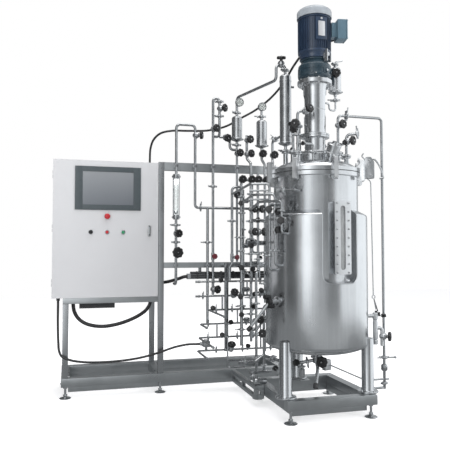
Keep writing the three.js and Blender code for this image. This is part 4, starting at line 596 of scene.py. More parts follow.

# ---- Cabinet stand and pipe rack ----------------------------------------------------------------
# Posts and beams of 40 mm square stainless tube on the floor frame; the rack's top beam is 60 mm deep.
# Joints are welded and ground.
stand = Made(UPRIGHT)
for x, y in ((-20, -20), (-20, 430), (646, 430)):
    stand.slab((x, y, 140.3), (x + 40, y + 40, 652.8), 2.5)
stand.finish = LONG
stand.slab((-20, -20, 653), (645.6, 20, 693), 2.5)
stand.slab((-20, 430, 653), (686, 470, 693), 2.5)
stand.finish = ACROSS
stand.slab((-20, 20.2, 653.3), (20, 429.8, 692.7), 2.5)
stand.slab((646, 20.5, 653.3), (686, 429.8, 692.7), 2.5)
stand.finish = BRIGHT
for x in (-20, 646):
    weld(stand, (x + 2, 430, 653), (x + 38, 430, 653), 1.8)
settle(stand.object("cabinet_stand_tubes", frame_finishes), "skid", "cabinet_stand")

rack = Made(UPRIGHT)
for x in (646, 1590):
    rack.slab((x, -20, 140.3), (x + 40, 20, 1673.6), 2.5)
rack.finish = LONG
rack.slab((686.2, -19.8, 1614), (1589.8, 19.8, 1674), 2.5)
rack.slab((686.2, -19.8, 897), (1589.8, 19.8, 937), 2.5)
rack.finish = BRIGHT
for x in (686, 1590):
    for z in (897, 937, 1614):
        weld(rack, (x, -19, z), (x, 19, z), 1.8)
settle(rack.object("pipe_rack_tubes", frame_finishes), "skid", "pipe_rack")

# ---- Control cabinet ----------------------------------------------------------------------------
# A welded sheet steel box with a full-width door on three hidden hinges, powder coated pale grey.
# Glands carry the cables through its roof, floor and side.
def moulded(name, colour, roughness, texture=900, depth=0.12):
    """Moulded plastic with a fine spark-eroded texture."""
    return mottled(name, shades(colour, 0.9, 1.08, 0.004), roughness, 0.05, 0.08, texture, depth, 40.0)


# Baked enamel: even colour, a fine orange-peel surface and slightly uneven gloss.
pale_grey = mottled("cabinet_pale_grey", shades((0.625, 0.63, 0.645), 0.965, 1.02), 0.42, 0.04, 0.05, 520,
    0.16, 3.5)
gland_grey = moulded("gland_dark_grey", (0.05, 0.052, 0.055), 0.45)
black_moulding = moulded("black_moulding", (0.012, 0.012, 0.013), 0.38)


def fold_box(made, low, high, wall, open_side=None):
    """Sheet panels of a box, each a thin slab; the open side is left out."""
    (x0, y0, z0), (x1, y1, z1) = low, high
    made.slab((x0, y0, z0), (x0 + wall, y1, z1), 1.2)
    made.slab((x1 - wall, y0, z0), (x1, y1, z1), 1.2)
    made.slab((x0 + wall, y0, z0), (x1 - wall, y1, z0 + wall), 1.2)
    made.slab((x0 + wall, y0, z1 - wall), (x1 - wall, y1, z1), 1.2)
    if open_side != "back":
        made.slab((x0 + wall, y1 - wall, z0 + wall), (x1 - wall, y1, z1 - wall), 1.2)


def cable_gland(made, at, axis, cable):
    """A hexagonal nut on the wall, a ribbed dome nut and a soft sealing lip round the cable."""
    clear, body, reach = cable + 0.6, cable + 5.5, 24
    made.turned([(clear, 1), (body, 1), (body + 1, 2), (body + 1, 8), (body, 9), (body - 1, 9),
        (body - 1, reach - 6), (clear + 2, reach - 1), (clear + 1, reach), (clear, reach), (clear, 1)], at,
        axis, 24)
    made.turned([(body - 0.5, 0.2), (body + 3.4, 0.2), (body + 3.8, 1), (body + 3.8, 5.4), (body + 3.4, 6),
        (body - 0.5, 6), (body - 0.5, 0.2)], at, axis, 6)


cabinet_left, cabinet_right, cabinet_bottom, cabinet_top = -95, 643, 693.3, 1665.3
box = Made()
fold_box(box, (cabinet_left, 0.3, cabinet_bottom), (cabinet_right, 270, cabinet_top), 3)
for x0, x1 in ((cabinet_left + 3, -77), (625, cabinet_right - 3)):
    box.slab((x0, 0.3, cabinet_bottom + 3), (x1, 2.3, cabinet_top - 3), 0.5)
for z0, z1 in ((cabinet_bottom + 3, 711.3), (1647.3, cabinet_top - 3)):
    box.slab((-77, 0.3, z0), (625, 2.3, z1), 0.5)
for x in (-40, 588):
    for z in (760, 1600):
        box.turned([(0, 0), (10, 0), (10, 1), (5, 2), (0, 2)], (x, 269.8, z), (0, 1, 0), 16)
box.finish = 1
for at, axis, cable in (((600, 130, cabinet_top), UP, 8), ((600, 62, cabinet_bottom), -UP, 13),
    ((52, 62, cabinet_bottom), -UP, 13), ((-52, 62, cabinet_bottom), -UP, 8),
    ((cabinet_right, 110, 785.3), AXIS_X, 12)):
    cable_gland(box, at, axis, cable)
box.settle("cabinet_box", [pale_grey, gland_grey], "cabinet_shell", "cabinet_paint")

# The door: a folded tray of sheet with its foam seal, a stiffening rail and holes for the controls.
door = Made()
door_front = -20
control_holes = [(277, 1267.3), (164, 1155.3), (277, 1155.3), (390, 1155.3)]
fold_box(door, (cabinet_left, door_front + 3, cabinet_bottom), (cabinet_right, -0.1, cabinet_top), 2.5,
    "back")
door.slab((cabinet_left, door_front, cabinet_bottom), (cabinet_right, door_front + 3, cabinet_top), 1.4)
door.slab((cabinet_left + 12, door_front + 3.2, 720), (cabinet_left + 34, -4, 1640), 1)
door.slab((602, door_front + 3.2, 720), (624, -4, 1640), 1)
for z in (1135, 1290, 1640):
    door.slab((-55, door_front + 3.2, z - 8 if z != 1135 else 1100), (600, -8, z + 8 if z != 1135 else 1112),
        1)
door.finish = 2
for x in (cabinet_left + 6, 632):
    door.slab((x - 4, -3.5, 705), (x + 4, -0.3, 1654), 1.2)
for z in (704, 1655):
    door.slab((-85, -3.5, z - 4), (628, -0.3, z + 4), 1.2)
door.finish = 1
for x, z in control_holes:
    door.turned([(11.6, 0.2), (14, 0.2), (16, 1.5), (16, 4.2), (13.6, 5.2), (11.6, 5.2), (11.6, 0.2)],
        (x, door_front, z), FRONT, 40)
door.settle("cabinet_door_panel", [pale_grey, zinc, gland_grey], "cabinet_door", "cabinet_paint",
    body="door")

hinges = Made()
for z in (800, 1179, 1558):
    for step in (-26, 2):
        hinges.rod((cabinet_left - 0.2, -9, z + step), (cabinet_left - 0.2, -9, z + step + 24), 4.2, 16)
hinges.settle("door_hinge_knuckles", [pale_grey], body="door")

# ---- Operator panel -----------------------------------------------------------------------------
# A moulded slate-grey bezel with a touch screen set back in it, screwed into the door's cut-out.
slate = moulded("panel_slate", (0.062, 0.078, 0.086), 0.40, 700, 0.1)
screen_glass, tree, shader = new_material("touch_screen", 0.16)
height = add(tree, "ShaderNodeSeparateXYZ", {0: add(tree,
    "ShaderNodeTexCoord").outputs["Object"]}).outputs["Z"]
film = use(tree, clouds, Size=9.0, Contrast=0.25).outputs["Mask"]
# The screen's grey is painted lighter towards its top: a painted reflection of the room's light on the
# glass.
painted_reflection_fade = mix(tree, (0.155, 0.17, 0.19), (0.265, 0.28, 0.295), spread(tree, height, 0, 1, 1.349, 1.586))
feed(tree, shader, {"Base Color": painted_reflection_fade, "Roughness": spread(tree, film, 0.12, 0.24)})

bezel = Made()
outer, inner = (53, 514, 1312.3, 1622.3), (105.3, 461.7, 1349, 1585.6)
frame_rows = [((outer[0], outer[2]), (inner[0], outer[3])), ((inner[1], outer[2]), (outer[1], outer[3])),
    ((inner[0], outer[2]), (inner[1], inner[2])), ((inner[0], inner[3]), (inner[1], outer[3])),]
for (x0, z0), (x1, z1) in frame_rows:
    bezel.slab((x0, -28, z0), (x1, -20.4, z1), 1.6)
bezel.slab((66, -20.4, 1325.3), (501, 28, 1609.3), 2)
for x in (72, 495):
    for z in (1331, 1604):
        bezel.turned([(0, 0), (4, 0), (4, 0.6), (3, 1.2), (0, 1.2)], (x, -28, z), FRONT, 16)
bezel.settle("operator_panel_bezel", [slate], "panel_housing", "panel_bezel", body="door")
glass = Made()
glass.slab((105.6, -26, 1349.3), (461.4, -23.3, 1585.3), 0.6)
glass.settle("operator_panel_screen", [screen_glass], "panel_screen", "screen", body="door")

# ---- Door controls ------------------------------------------------------------------------------
# Moulded push buttons in bright bezels, a mushroom stop, a black selector and a flush swing handle.
signal_red = moulded("signal_red", (0.50, 0.022, 0.030), 0.28, 300, 0.03)
signal_green = moulded("signal_green", (0.03, 0.27, 0.12), 0.30, 300, 0.03)
stop = Made()
stop_seat = (277, -4.8, 1267.3)
stop.turned([(0, 0), (11, 0), (11, 28.6), (20, 29), (20.5, 31), (20, 36.5), (17, 40.5), (11, 43), (0, 44)],
    stop_seat, FRONT, 48)
stop.turned([(11.2, 27.2), (14, 27.2), (16, 28.8), (11.2, 28.8), (11.2, 27.2)], stop_seat, FRONT, 40)
stop.settle("emergency_stop_cap", [signal_red], "emergency_stop", "red_plastic", body="emergency_stop")
for name, x, paint in (("stop_button", 277, signal_red), ("start_button", 390, signal_green)):
    press = Made()
    press.turned([(0, 0), (11, 0), (11, 26), (10.2, 29.2), (8.5, 30.6), (6, 30.2), (0, 30)], (x, 0, 1155.3),
        FRONT, 40)
    settle(press.object(name + "_cap", [paint]), name, name)
select = Made()
select.rod((164, -5, 1155.3), (164, -26, 1155.3), 11, 32)
select.turned([(0, 0), (13.5, 0), (14, 1), (14, 4), (12.8, 6), (0, 6)], (164, -25.4, 1155.3), FRONT, 40)
select.prism([(-4, -12.5), (4, -12.5), (4.6, 0), (4, 12.5), (-4, 12.5), (-4.6, 0)], (164, -31, 1155.3),
    (1, 0, 0), (0, 0, 1), 12, 1.0)
select.settle("selector_knob_grip", [black_moulding], "selector_knob", "black_plastic", body="selector_knob")
lock = Made()
lock.rod((577, -5, 1176.3), (577, -26, 1176.3), 11, 32)
lock.prism([(-9.6, -48), (-6, -50), (6, -50), (9.6, -48), (10, 24), (7, 29), (0, 30), (-7, 29), (-10, 24)],
    (577, -25.6, 1176.3), (1, 0, 0), (0, 0, 1), 6, 1.2)
lock.prism([(-6.5, -45), (6.5, -45), (7.5, 20), (-7.5, 20)], (577, -31.4, 1176.3), (1, 0, 0), (0, 0, 1), 7,
    2.0)
lock.finish = 1
for z in (1196.5, 1138):
    lock.turned([(0, 0), (4.6, 0), (4.6, 0.7), (3.4, 1.0), (0, 1.0)], (577, -31.6 if z > 1190 else -38.4, z),
        FRONT, 24)
lock.finish = 0
lock.slab((575, -10, 1168.3), (617, -5, 1184.3), 1)
lock.settle("door_swing_handle", [zinc, black_moulding], "door_lock_handle", "black_plastic",
    body="door_lock")

# ---- Mounting plate -----------------------------------------------------------------------------
# A galvanised plate inside the cabinet with drives, breakers, relays and terminals snapped onto rails.
# Slotted wiring ducts run between the rows.
switch_white = moulded("switchgear_white", (0.55, 0.56, 0.56), 0.42)
switch_grey = moulded("switchgear_grey", (0.20, 0.21, 0.22), 0.45)
plate = Made()
plate.slab((-50, 260.7, 738.3), (598, 266.7, 1620.3), 1)
device_rows = [(1451.5, 95, 140.7, 2, 252.8, 41, 2), (1227.9, 60, 170.7, 3, 176.4, 20, 3),
    (1023.8, 45, 190.7, 5, 103.5, 14, 6), (848.8, 30, 210.7, 4, 117.6, 29, 11)]
for z, half, face, count, width, space, parts in device_rows:
    plate.finish = 0
    plate.slab((-30, 252.9, z - 17), (578, 260.5, z + 17), 1)
    for k in range(count):
        x = -20 + k * (width + space)
        share = width / parts
        for part in range(parts):
            plate.finish = 1 if (part + k) % 3 else 2
            plate.slab((x + part * share + 0.4, face, z - half), (x + (part + 1) * share - 0.4, 252.7,
                z + half), 1.4)
plate.finish = 2
for z in (1340, 1125, 935):
    plate.slab((-40, 205, z - 20), (588, 260.5, z + 20), 1.5)
settle(plate.object("cabinet_mounting_plate", [zinc, switch_white, switch_grey]), "skid", "mounting_plate")

# ---- Vessel -------------------------------------------------------------------------------------
# A stirred tank of 4 mm stainless sheet with a bolting flange, inside a heating jacket on three legs.
# Rolled, welded and polished outside; the jacket stands back round the sight glass.
def V(x, y, z=0.0):
    return (axis_x + x, axis_y + y, z)


axis_foot = Vector(V(0, 0))


def around(reach, degrees, z=0.0):
    turn = math.radians(degrees)
    return V(reach * math.cos(turn), reach * math.sin(turn), z)


def arc_profile(radius, height, foot, end, steps=14):
    """A dished end's (radius, height) points, from its rim in to the radius `end`."""
    last = math.acos(end / radius)
    angles = [last * k / steps for k in range(steps + 1)]
    return [(radius * math.cos(a), foot + height * math.sin(a)) for a in angles]


def carved(made, other, how="DIFFERENCE"):
    """The first object's shape with the second one's cut away or kept; the second is used up."""
    cut = made.modifiers.new("cut", "BOOLEAN")
    cut.operation = how
    cut.object = other
    cut.solver = "EXACT"
    cut.use_self = True
    shape = bpy.data.meshes.new_from_object(made.evaluated_get(bpy.context.evaluated_depsgraph_get()))
    made.modifiers.remove(cut)
    old = made.data
    made.data = shape
    bpy.data.meshes.remove(old)
    bpy.data.objects.remove(other)
    shape.set_sharp_from_angle(angle=math.radians(32))
    return made


def merged(name, *pieces):
    """Several finished objects as one mesh that keeps their materials."""
    whole = bmesh.new()
    materials = []
    for piece in pieces:
        start = len(whole.faces)
        whole.from_mesh(piece.data)
        whole.faces.ensure_lookup_table()
        slots = piece.data.materials
        for face in whole.faces[start:]:
            material = slots[face.material_index]
            if material not in materials:
                materials.append(material)
            face.material_index = materials.index(material)
        bpy.data.objects.remove(piece)
    mesh = bpy.data.meshes.new(name)
    whole.to_mesh(mesh)
    whole.free()
    for material in materials:
        mesh.materials.append(material)
    made = bpy.data.objects.new(name, mesh)
    scene.collection.objects.link(made)
    return made


def rounded(outline, radii, steps=6):
    """An outline with each corner rounded by its own radius."""
    points = []
    for k, (x, y) in enumerate(outline):
        at, before, after = Vector((x, y)), Vector(outline[k - 1]), Vector(outline[(k + 1) % len(outline)])
        radius = radii[k]
        if radius < 0.1:
            points.append((x, y))
            continue
        into, out = (at - before).normalized(), (after - at).normalized()
        angle = into.angle(out)
        reach = radius * math.tan(angle / 2)
        start, end = at - into * reach, at + out * reach
        for s in range(steps + 1):
            t = s / steps
            place = start.lerp(at, t).lerp(at.lerp(end, t), t)
            points.append((place.x, place.y))
    return points


polished = brushed_steel("polished_vessel_steel", (0.62, 0.632, 0.645), 0.22, (150, 150, 3), 0.035, 3.0)
satin = brushed_steel("satin_steel", (0.54, 0.55, 0.56), 0.28, (140, 140, 140), 0.08, 14.0)
clamp_steel = brushed_steel("clamp_steel", (0.70, 0.71, 0.72), 0.36, (140, 140, 140), 0.1, 14.0)
seal_black = moulded("seal_rubber", (0.02, 0.02, 0.021), 0.6, 500, 0.2)


def hazed(name, roughness, low, high, cloud, gloss=None, sockets={}):
    """A smooth finish with a faint cloudy film."""
    made, tree, shader = new_material(name, roughness)
    marks = use(tree, clouds, Size=cloud, Contrast=0.3).outputs["Mask"]
    feed(tree, shader, {"Base Color": mix(tree, low, high, marks), **sockets})
    if gloss:
        feed(tree, shader, {"Roughness": spread(tree, marks, *gloss)})
    return made


glass = hazed("clear_glass", 0.04, (0.86, 0.89, 0.89), (0.96, 0.98, 0.98), 18.0, (0.02, 0.09),
    {"Transmission Weight": 1.0, "IOR": 1.45})
pane_glass = hazed("worn_sight_glass", 0.12, (0.36, 0.38, 0.385), (0.62, 0.64, 0.65), 9.0, None,
    {"Transmission Weight": 0.45})

facing = math.radians(274)
look = Vector((math.cos(facing), math.sin(facing), 0))  # from the vessel's axis out through the sight glass
over = Vector((-math.sin(facing), math.cos(facing), 0))
sight_low, sight_high, slot_low, slot_high = 884, 1319, 911, 1292


def sight_prism(made, outline, near, far, soft=0.0):
    """A shape in the sight glass's own plane, from one distance off the axis to another."""
    return made.prism(outline, axis_foot + look * near, over, UP, far - near, soft)


def slot_outline(half, low, high, steps=10):
    ends = []
    for centre, start in ((high - half, 0), (low + half, math.pi)):
        for s in range(steps + 1):
            a = start + math.pi * s / steps
            ends.append((half * math.cos(a), centre + half * math.sin(a)))
    return ends


pocket_outline = [(-119, 830), (113, 830), (113, 1300), (-119, 1300)]
pocket_radii = [54, 54, 0, 0]


def pocket_shape(grow):
    outline = [(x + math.copysign(grow, x), z - (grow if z == 830 else 0)) for x, z in pocket_outline]
    return rounded(outline, [r + grow for r in pocket_radii[:2]] + pocket_radii[2:])


vessel_wall = Made()
vessel_wall.turned([(300, 1485), (300.5, 1487), (300.5, 1508), (300, 1510), (265, 1510), (265, 491),
    *arc_profile(265, -70, 491, 19, 12)[1:], (19, 350), (24, 350), (24, 417.3),
    *arc_profile(269, -74, 491, 24, 12)[::-1], (269, 1482.5), (270, 1484.5), (272, 1485), (300, 1485)],
    V(0, 0), steps=128)
vessel_wall = vessel_wall.object("vessel_wall", [polished])
sight_boss = Made()
sight_prism(sight_boss, rounded([(-55, sight_low), (55, sight_low), (55, sight_high), (-55, sight_high)],
    [9] * 4), 258, 318)
hollow = Made().turned([(0, 870), (266, 870), (266, 1330), (0, 1330)], V(0, 0), steps=96).object("hollow",
    [polished])
sight_boss = carved(sight_boss.object("sight_boss", [polished]), hollow)
slot = sight_prism(Made(), slot_outline(16.5, slot_low, slot_high), 200, 330)
vessel_wall = carved(merged("vessel_wall", vessel_wall, sight_boss), slot.object("slot", [polished]))
settle(vessel_wall, "skid", "vessel_shell")

# The jacket: its rolled skin with a folded-in pocket round the sight glass, and three welded legs.
skin = Made()
outer = [(269.4, 1274), (272, 1273.2), (311, 1253), (319, 1248), (323.5, 1241), (325, 1231), (325, 446)]
skin.turned([*outer, *arc_profile(325, -74, 446, 24.6)[1:], (24.6, 375.2), *arc_profile(322, -71, 446,
    24.6)[::-1][:-1], (322, 446), (322, 1241), (269.4, 1271), (269.4, 1274)], V(0, 0), steps=144)
skin = skin.object("jacket_skin", [polished])
skin = carved(skin, sight_prism(Made(), pocket_shape(0.3), 200, 400).object("pocket", [polished]))
walls = Made().turned([(269.4, 800), (324.4, 800), (324.4, 1238), (269.4, 1272), (269.4, 800)], V(0, 0),
    steps=144)
walls = carved(walls.object("pocket_walls", [polished]), sight_prism(Made(), pocket_shape(3.2), 210,
    390).object("pocket_keep", [polished]), "INTERSECT")
walls = carved(walls, sight_prism(Made(), pocket_shape(0), 200, 400).object("pocket_hollow", [polished]))
trim = Made()
edge = pocket_shape(1.5)[:-2]
half = len(edge) // 2
lip_run = [(-120.5, z) for z in (1243, 1160, 1060, 960)] + edge[:half] + [(-30, 828.5), (0, 828.5),
    (30, 828.5)]
lip_run += edge[half:] + [(114.5, z) for z in (960, 1060, 1160, 1243)]
lip_line = []
for x, z in lip_run:
    reach = math.sqrt(324.5 ** 2 - x * x)
    lip_line.append(Vector(V(0, 0, z)) + look * reach + over * x)
trim.along(smooth_line(lip_line, 3), 3.4, 10)
for degrees in (90, 210, 330):
    foot = around(318, degrees)
    trim.turned([(0, 140.3), (62, 140.3), (65, 143), (65, 148), (63.5, 150.3), (43, 150.3), (39.5, 152),
        (38, 156), (38, 470), (36.5, 475), (32, 477), (0, 477)], foot, steps=56)
    for k in range(4):
        a = math.radians(45 + 90 * k + degrees)
        trim.turned([(0, 0), (8, 0), (8, 5), (7, 6.5), (0, 6.5)], (foot[0] + 52 * math.cos(a),
            foot[1] + 52 * math.sin(a), 150.3), steps=6)
inner_room = Made().turned([(0, 1240), (321, 1240), (321, 446), *arc_profile(321, -70, 446, 2)[1:],
    (0, 376)], V(0, 0), steps=96)
trim = carved(trim.object("jacket_legs", [polished]), inner_room.object("inner_room", [polished]))
settle(merged("vessel_jacket", skin, walls, trim), "skid", "jacket")

sight = Made()
sight_prism(sight, rounded([(-55, sight_low), (55, sight_low), (55, sight_high), (-55, sight_high)],
    [9] * 4), 328.5, 336.6, 1.2)
sight = carved(sight.object("sight_plate", [clamp_steel]), sight_prism(Made(), slot_outline(16.5, slot_low,
    slot_high), 200, 380).object("slot", [satin]))
edges = Made()
for x0, x1 in ((-55, -31), (31, 55)):
    sight_prism(edges, [(x0, sight_low + 2), (x1, sight_low + 2), (x1, sight_high - 2),
        (x0, sight_high - 2)], 318.4, 328.6)
for z0, z1 in ((sight_low + 2, 896.6), (1306.4, sight_high - 2)):
    sight_prism(edges, [(-31, z0), (31, z0), (31, z1), (-31, z1)], 318.4, 328.6)
settle(merged("sight_glass_bezel", sight, edges.object("sight_sides", [satin])), "skid", "sight_glass_frame")
pane = sight_prism(Made(), slot_outline(30.5, 897, 1306), 318.6, 328.2, 0.6)
pane.settle("sight_pane", [pane_glass], "sight_glass_pane", "sight_glass")
settle(Made().turned([(266.3, 1510.3), (295, 1510.3), (296.5, 1511.8), (295, 1513.3), (266.3, 1513.3),
    (266.3, 1510.3)], V(0, 0), steps=128).object("lid_seal", [seal_black]), "skid", "head_gasket")

# ---- Bolts and other repeated fittings ----------------------------------------------------------
# One tree sets a fitting out on stored points; a second sets it out evenly round a ring.
def placing_tree(name, ringed):
    tree = bpy.data.node_groups.new(name, "GeometryNodeTree")
    tree.is_modifier = True
    sockets = {"Geometry": "Geometry", "Item": "Object", "Finish": "Material", "Turn Jitter": "Float",
        "Seed": "Int"}
    if ringed:
        sockets.update({"Count": "Int", "Radius": "Float", "First Angle": "Float"})
    for title, kind in sockets.items():
        tree.interface.new_socket(title, in_out="INPUT", socket_type="NodeSocket" + kind)
    tree.interface.new_socket("Geometry", in_out="OUTPUT", socket_type="NodeSocketGeometry")
    given = add(tree, "NodeGroupInput").outputs
    item = add(tree, "GeometryNodeObjectInfo", {"Object": given["Item"]})
    spots = add(tree, "GeometryNodeInstanceOnPoints", {"Instance": item.outputs["Geometry"]})
    if ringed:
        ring = add(tree, "GeometryNodeMeshCircle", {"Vertices": given["Count"], "Radius": given["Radius"]})
        index = add(tree, "GeometryNodeInputIndex")
        share = add(tree, "ShaderNodeMath", {0: index.outputs[0], 1: given["Count"]}, operation="DIVIDE")
        angle = add(tree, "ShaderNodeMath", {0: share.outputs[0], 1: 2 * math.pi}, operation="MULTIPLY")
        turn = add(tree, "ShaderNodeCombineXYZ", {"Z": angle.outputs[0]})
        feed(tree, spots, {"Points": ring.outputs["Mesh"], "Rotation": turn.outputs[0]})
    else:
        way = add(tree, "GeometryNodeInputNamedAttribute", {"Name": "facing"}, data_type="FLOAT_VECTOR")
        size = add(tree, "GeometryNodeInputNamedAttribute", {"Name": "size"}, data_type="FLOAT")
        align = add(tree, "FunctionNodeAlignRotationToVector", {"Vector": way.outputs["Attribute"]},
            axis="Z")
        feed(tree, spots, {"Points": given["Geometry"], "Rotation": align.outputs[0],
            "Scale": size.outputs["Attribute"]})
    back = add(tree, "ShaderNodeMath", {0: given["Turn Jitter"], 1: -1}, operation="MULTIPLY")
    limits = {2: back.outputs[0], 3: given["Turn Jitter"], "Seed": given["Seed"]}
    chance = add(tree, "FunctionNodeRandomValue", limits, data_type="FLOAT")
    turns = [add(tree, "ShaderNodeCombineXYZ", {"Z": chance.outputs[1]})]
    if ringed:
        turns.append(add(tree, "ShaderNodeCombineXYZ", {"Z": given["First Angle"]}))
    for k, turn in enumerate(turns):  # the second turns the whole ring about its middle
        spots = add(tree, "GeometryNodeRotateInstances", {"Instances": spots.outputs[0],
            "Rotation": turn.outputs[0], "Local Space": k == 0})
    real = add(tree, "GeometryNodeRealizeInstances", {0: spots.outputs[0]})
    painted = add(tree, "GeometryNodeSetMaterial", {"Geometry": real.outputs[0],
        "Material": given["Finish"]})
    add(tree, "NodeGroupOutput", {"Geometry": painted.outputs[0]})
    return tree


place_on_points = placing_tree("place_on_points", False)
place_on_ring = placing_tree("place_on_ring", True)


def grown(name, base, tree, item, finish, values):
    """The plain mesh that a placing tree makes."""
    source = bpy.data.objects.new(name, base)
    scene.collection.objects.link(source)
    live = source.modifiers.new("set_out", "NODES")
    live.node_group = tree
    values = {"Item": item, "Finish": finish, "Seed": 7, "Turn Jitter": 0.0, **values}
    for socket in tree.interface.items_tree:
        if socket.in_out == "INPUT" and socket.name in values:
            live[socket.identifier] = values[socket.name]
    source.update_tag()
    depsgraph = bpy.context.evaluated_depsgraph_get()
    mesh = bpy.data.meshes.new_from_object(source.evaluated_get(depsgraph))
    source.modifiers.remove(live)
    bpy.data.objects.remove(source)
    mesh.set_sharp_from_angle(angle=math.radians(32))
    made = bpy.data.objects.new(name, mesh)
    scene.collection.objects.link(made)
    return made


def set_out(name, item, finish, places, jitter=0.0, seed=7):
    """Copies a fitting to each (place, facing, size), given in millimetres."""
    base = bpy.data.meshes.new(name + "_points")
    base.from_pydata([metres(*place) for place, way, size in places], [], [])
    base.attributes.new("facing", "FLOAT_VECTOR", "POINT")
    base.attributes.new("size", "FLOAT", "POINT")
    for k, (place, way, size) in enumerate(places):
        base.attributes["facing"].data[k].vector = Vector(way).normalized()
        base.attributes["size"].data[k].value = size
    return grown(name, base, place_on_points, item, finish, {"Turn Jitter": jitter, "Seed": seed})


def ring_of(name, item, finish, centre, radius, count, first=0.0):
    """Copies a fitting evenly round an upright ring; the fitting's X points outwards."""
    made = grown(name, bpy.data.meshes.new(name + "_ring"), place_on_ring, item, finish,
        {"Count": count, "Radius": radius / 1000, "First Angle": math.radians(first)})
    made.data.transform(Matrix.Translation(metres(*centre)))
    return made


def item(made, name, finish):
    """A fitting built round its own origin, ready to be copied."""
    return made.object(name, [finish], origin=Vector())


def drop(*used):
    for one in used:
        bpy.data.objects.remove(one)


hex_head = item(Made().turned([(0, -1), (9.5, -1), (9.8, -0.6), (9.8, 0.4), (9.4, 0.8), (7.2, 0.8),
    (7.6, 1.2), (7.6, 5.4), (6.8, 6.2), (0, 6.4)], (0, 0, 0), steps=12), "hex_head", zinc)
cap_nut = item(Made().turned([(0, -1), (7.5, -1), (7.8, 0.8), (6.0, 1.0), (6.0, 4), (5.2, 6.4), (3.4, 8.2),
    (0, 9)], (0, 0, 0), steps=20), "cap_nut", satin)
sight_bolts = [(tuple(axis_foot + look * 336.8 + over * x + UP * (895 + 51.625 * k)), look, 0.86)
    for x in (-39, 39) for k in range(9)]
settle(set_out("sight_glass_nuts", cap_nut, satin, sight_bolts), "skid")
drop(cap_nut)

# ---- Lid ----------------------------------------------------------------------------------------
# A pressed dome with a raised middle boss, its flange held down by eight forged C clamps.
# Ports are sanitary ferrules welded in; a hinge bracket at the right takes the lifting lever.
lid_stubs = []
head = Made()
head.turned([(300.5, 1515), (300.5, 1537), (299, 1538.6), (268, 1538.6), (264, 1540.5), (262.2, 1545),
    *[(r - 0.3, z) for r, z in arc_profile(262, 72, 1538.6, 110)[2:]], (110, 1608), (110, 1642.6),
    (108, 1644.6), (28, 1644.6), (28, 1600.6), (58, 1598.9), *arc_profile(256, 66, 1534.6, 60)[::-1][1:],
    (256, 1513.6), (299, 1513.6), (300.5, 1515)], V(0, 0), steps=128)
head.turned([(261, 1546), (263.2, 1545), (263.6, 1541), (262, 1537), (258, 1537), (261, 1546)], V(0, 0),
    steps=96)
ports = {"charge": (-165.4, -103.3, 1633.6, 19), "spray": (-149.6, 10.5, 1658.6, 16),
    "vent": (-133.8, 180.9, 1688.6, 16), "feed": (178.2, 25.1, 1663.6, 16),
    "inoculum": (198, -53.1, 1633.6, 16)}
for x, y, top, radius in ports.values():
    rim = radius * 1.75
    head.turned([(0, 1541), (radius, 1541), (radius, top - 12), (radius + 2, top - 9), (rim - 1, top - 6),
        (rim, top - 5), (rim, top - 1), (rim - 1, top), (0, top)], V(x, y), steps=40)
    dome_z = 1538.6 + 72 * math.sqrt(max(0, 1 - (x * x + y * y) / 262 ** 2))
    head.turned([(radius - 2, dome_z - 3), (radius + 5, dome_z - 4), (radius + 3.5, dome_z + 2),
        (radius, dome_z + 5), (radius - 2, dome_z - 3)], V(x, y), steps=32)
foot, top = Vector(V(28.1, -121.8, 1538.6)), Vector(V(40.2, -174.1, 1645.9))
lean = (top - foot).normalized()
head.turned([(0, 0), (32, 0), (32, 92), (34, 96), (40, 97), (41, 99), (41, 104), (40, 106), (0, 106)], foot,
    lean, 48)
head_object = head.object("lid_dome", [polished])
head_object = carved(head_object, Made().turned([(0, 1508), (255.8, 1508), (255.8, 1534.6),
    *arc_profile(255.8, 65.8, 1534.6, 58)[1:], (58, 1598), (0, 1599)], V(0, 0),
    steps=96).object("lid_hollow", [polished]))
clamps = Made()
for k in range(8):
    turn = math.radians(222.9 + 45 * k)
    out, across = Vector((math.cos(turn), math.sin(turn), 0)), Vector((-math.sin(turn), math.cos(turn), 0))
    outline = rounded([(280.6, 1539.4), (280.6, 1558), (302, 1561), (302, 1588.6), (326.6, 1588.6),
        (326.6, 1458), (310, 1452.6), (282.6, 1464.4), (282.6, 1484.4), (301, 1484.4), (301, 1539.4)],
        [3, 5, 4, 4, 6, 12, 8, 4, 3, 3, 3], 4)
    clamps.prism(outline, axis_foot + across * 13, out, UP, 26, 2.0)
    bolt = axis_foot + out * 291.5
    clamps.turned([(0, 1539.2), (9, 1539.2), (10, 1540), (10, 1544), (6.5, 1546), (6.5, 1578), (0, 1578)],
        bolt, steps=20)
    clamps.turned([(0, 1578), (10.4, 1578), (11, 1579), (11, 1589), (10.4, 1590), (0, 1590)], bolt, steps=6)
    clamps.turned([(0, 1590), (6, 1590), (6, 1602), (5, 1603), (0, 1603)], bolt, steps=16)
clamps_object = clamps.object("lid_clamps", [clamp_steel])
arm = Made()
hinge = math.radians(335)
out, across = Vector((math.cos(hinge), math.sin(hinge), 0)), Vector((-math.sin(hinge), math.cos(hinge), 0))
plate_shape = rounded([(308, 1486.6), (372, 1486.6), (372, 1590), (352, 1622.6), (318, 1622.6), (308, 1600)],
    [8, 10, 18, 16, 14, 12], 5)
for side in (26, -14):
    arm.prism(plate_shape, axis_foot + across * side, out, UP, 12, 1.5)
middle = axis_foot + out * 323
arm.slab((middle.x - 37, middle.y - 25.6, 1538), (middle.x + 37, middle.y + 25.6, 1564.2), 3,
    math.degrees(hinge), (middle.x, middle.y))
seat = axis_foot + out * 365
arm.slab((seat.x - 6.5, seat.y - 25.6, 1487), (seat.x + 6.5, seat.y + 25.6, 1518), 2, math.degrees(hinge),
    (seat.x, seat.y))
for reach, z, wide in ((342, 1596, 34), (350, 1502, 31)):
    pin = Vector(V(0, 0, z)) + out * reach
    arm.rod(pin - across * wide, pin + across * wide, 9, 24)
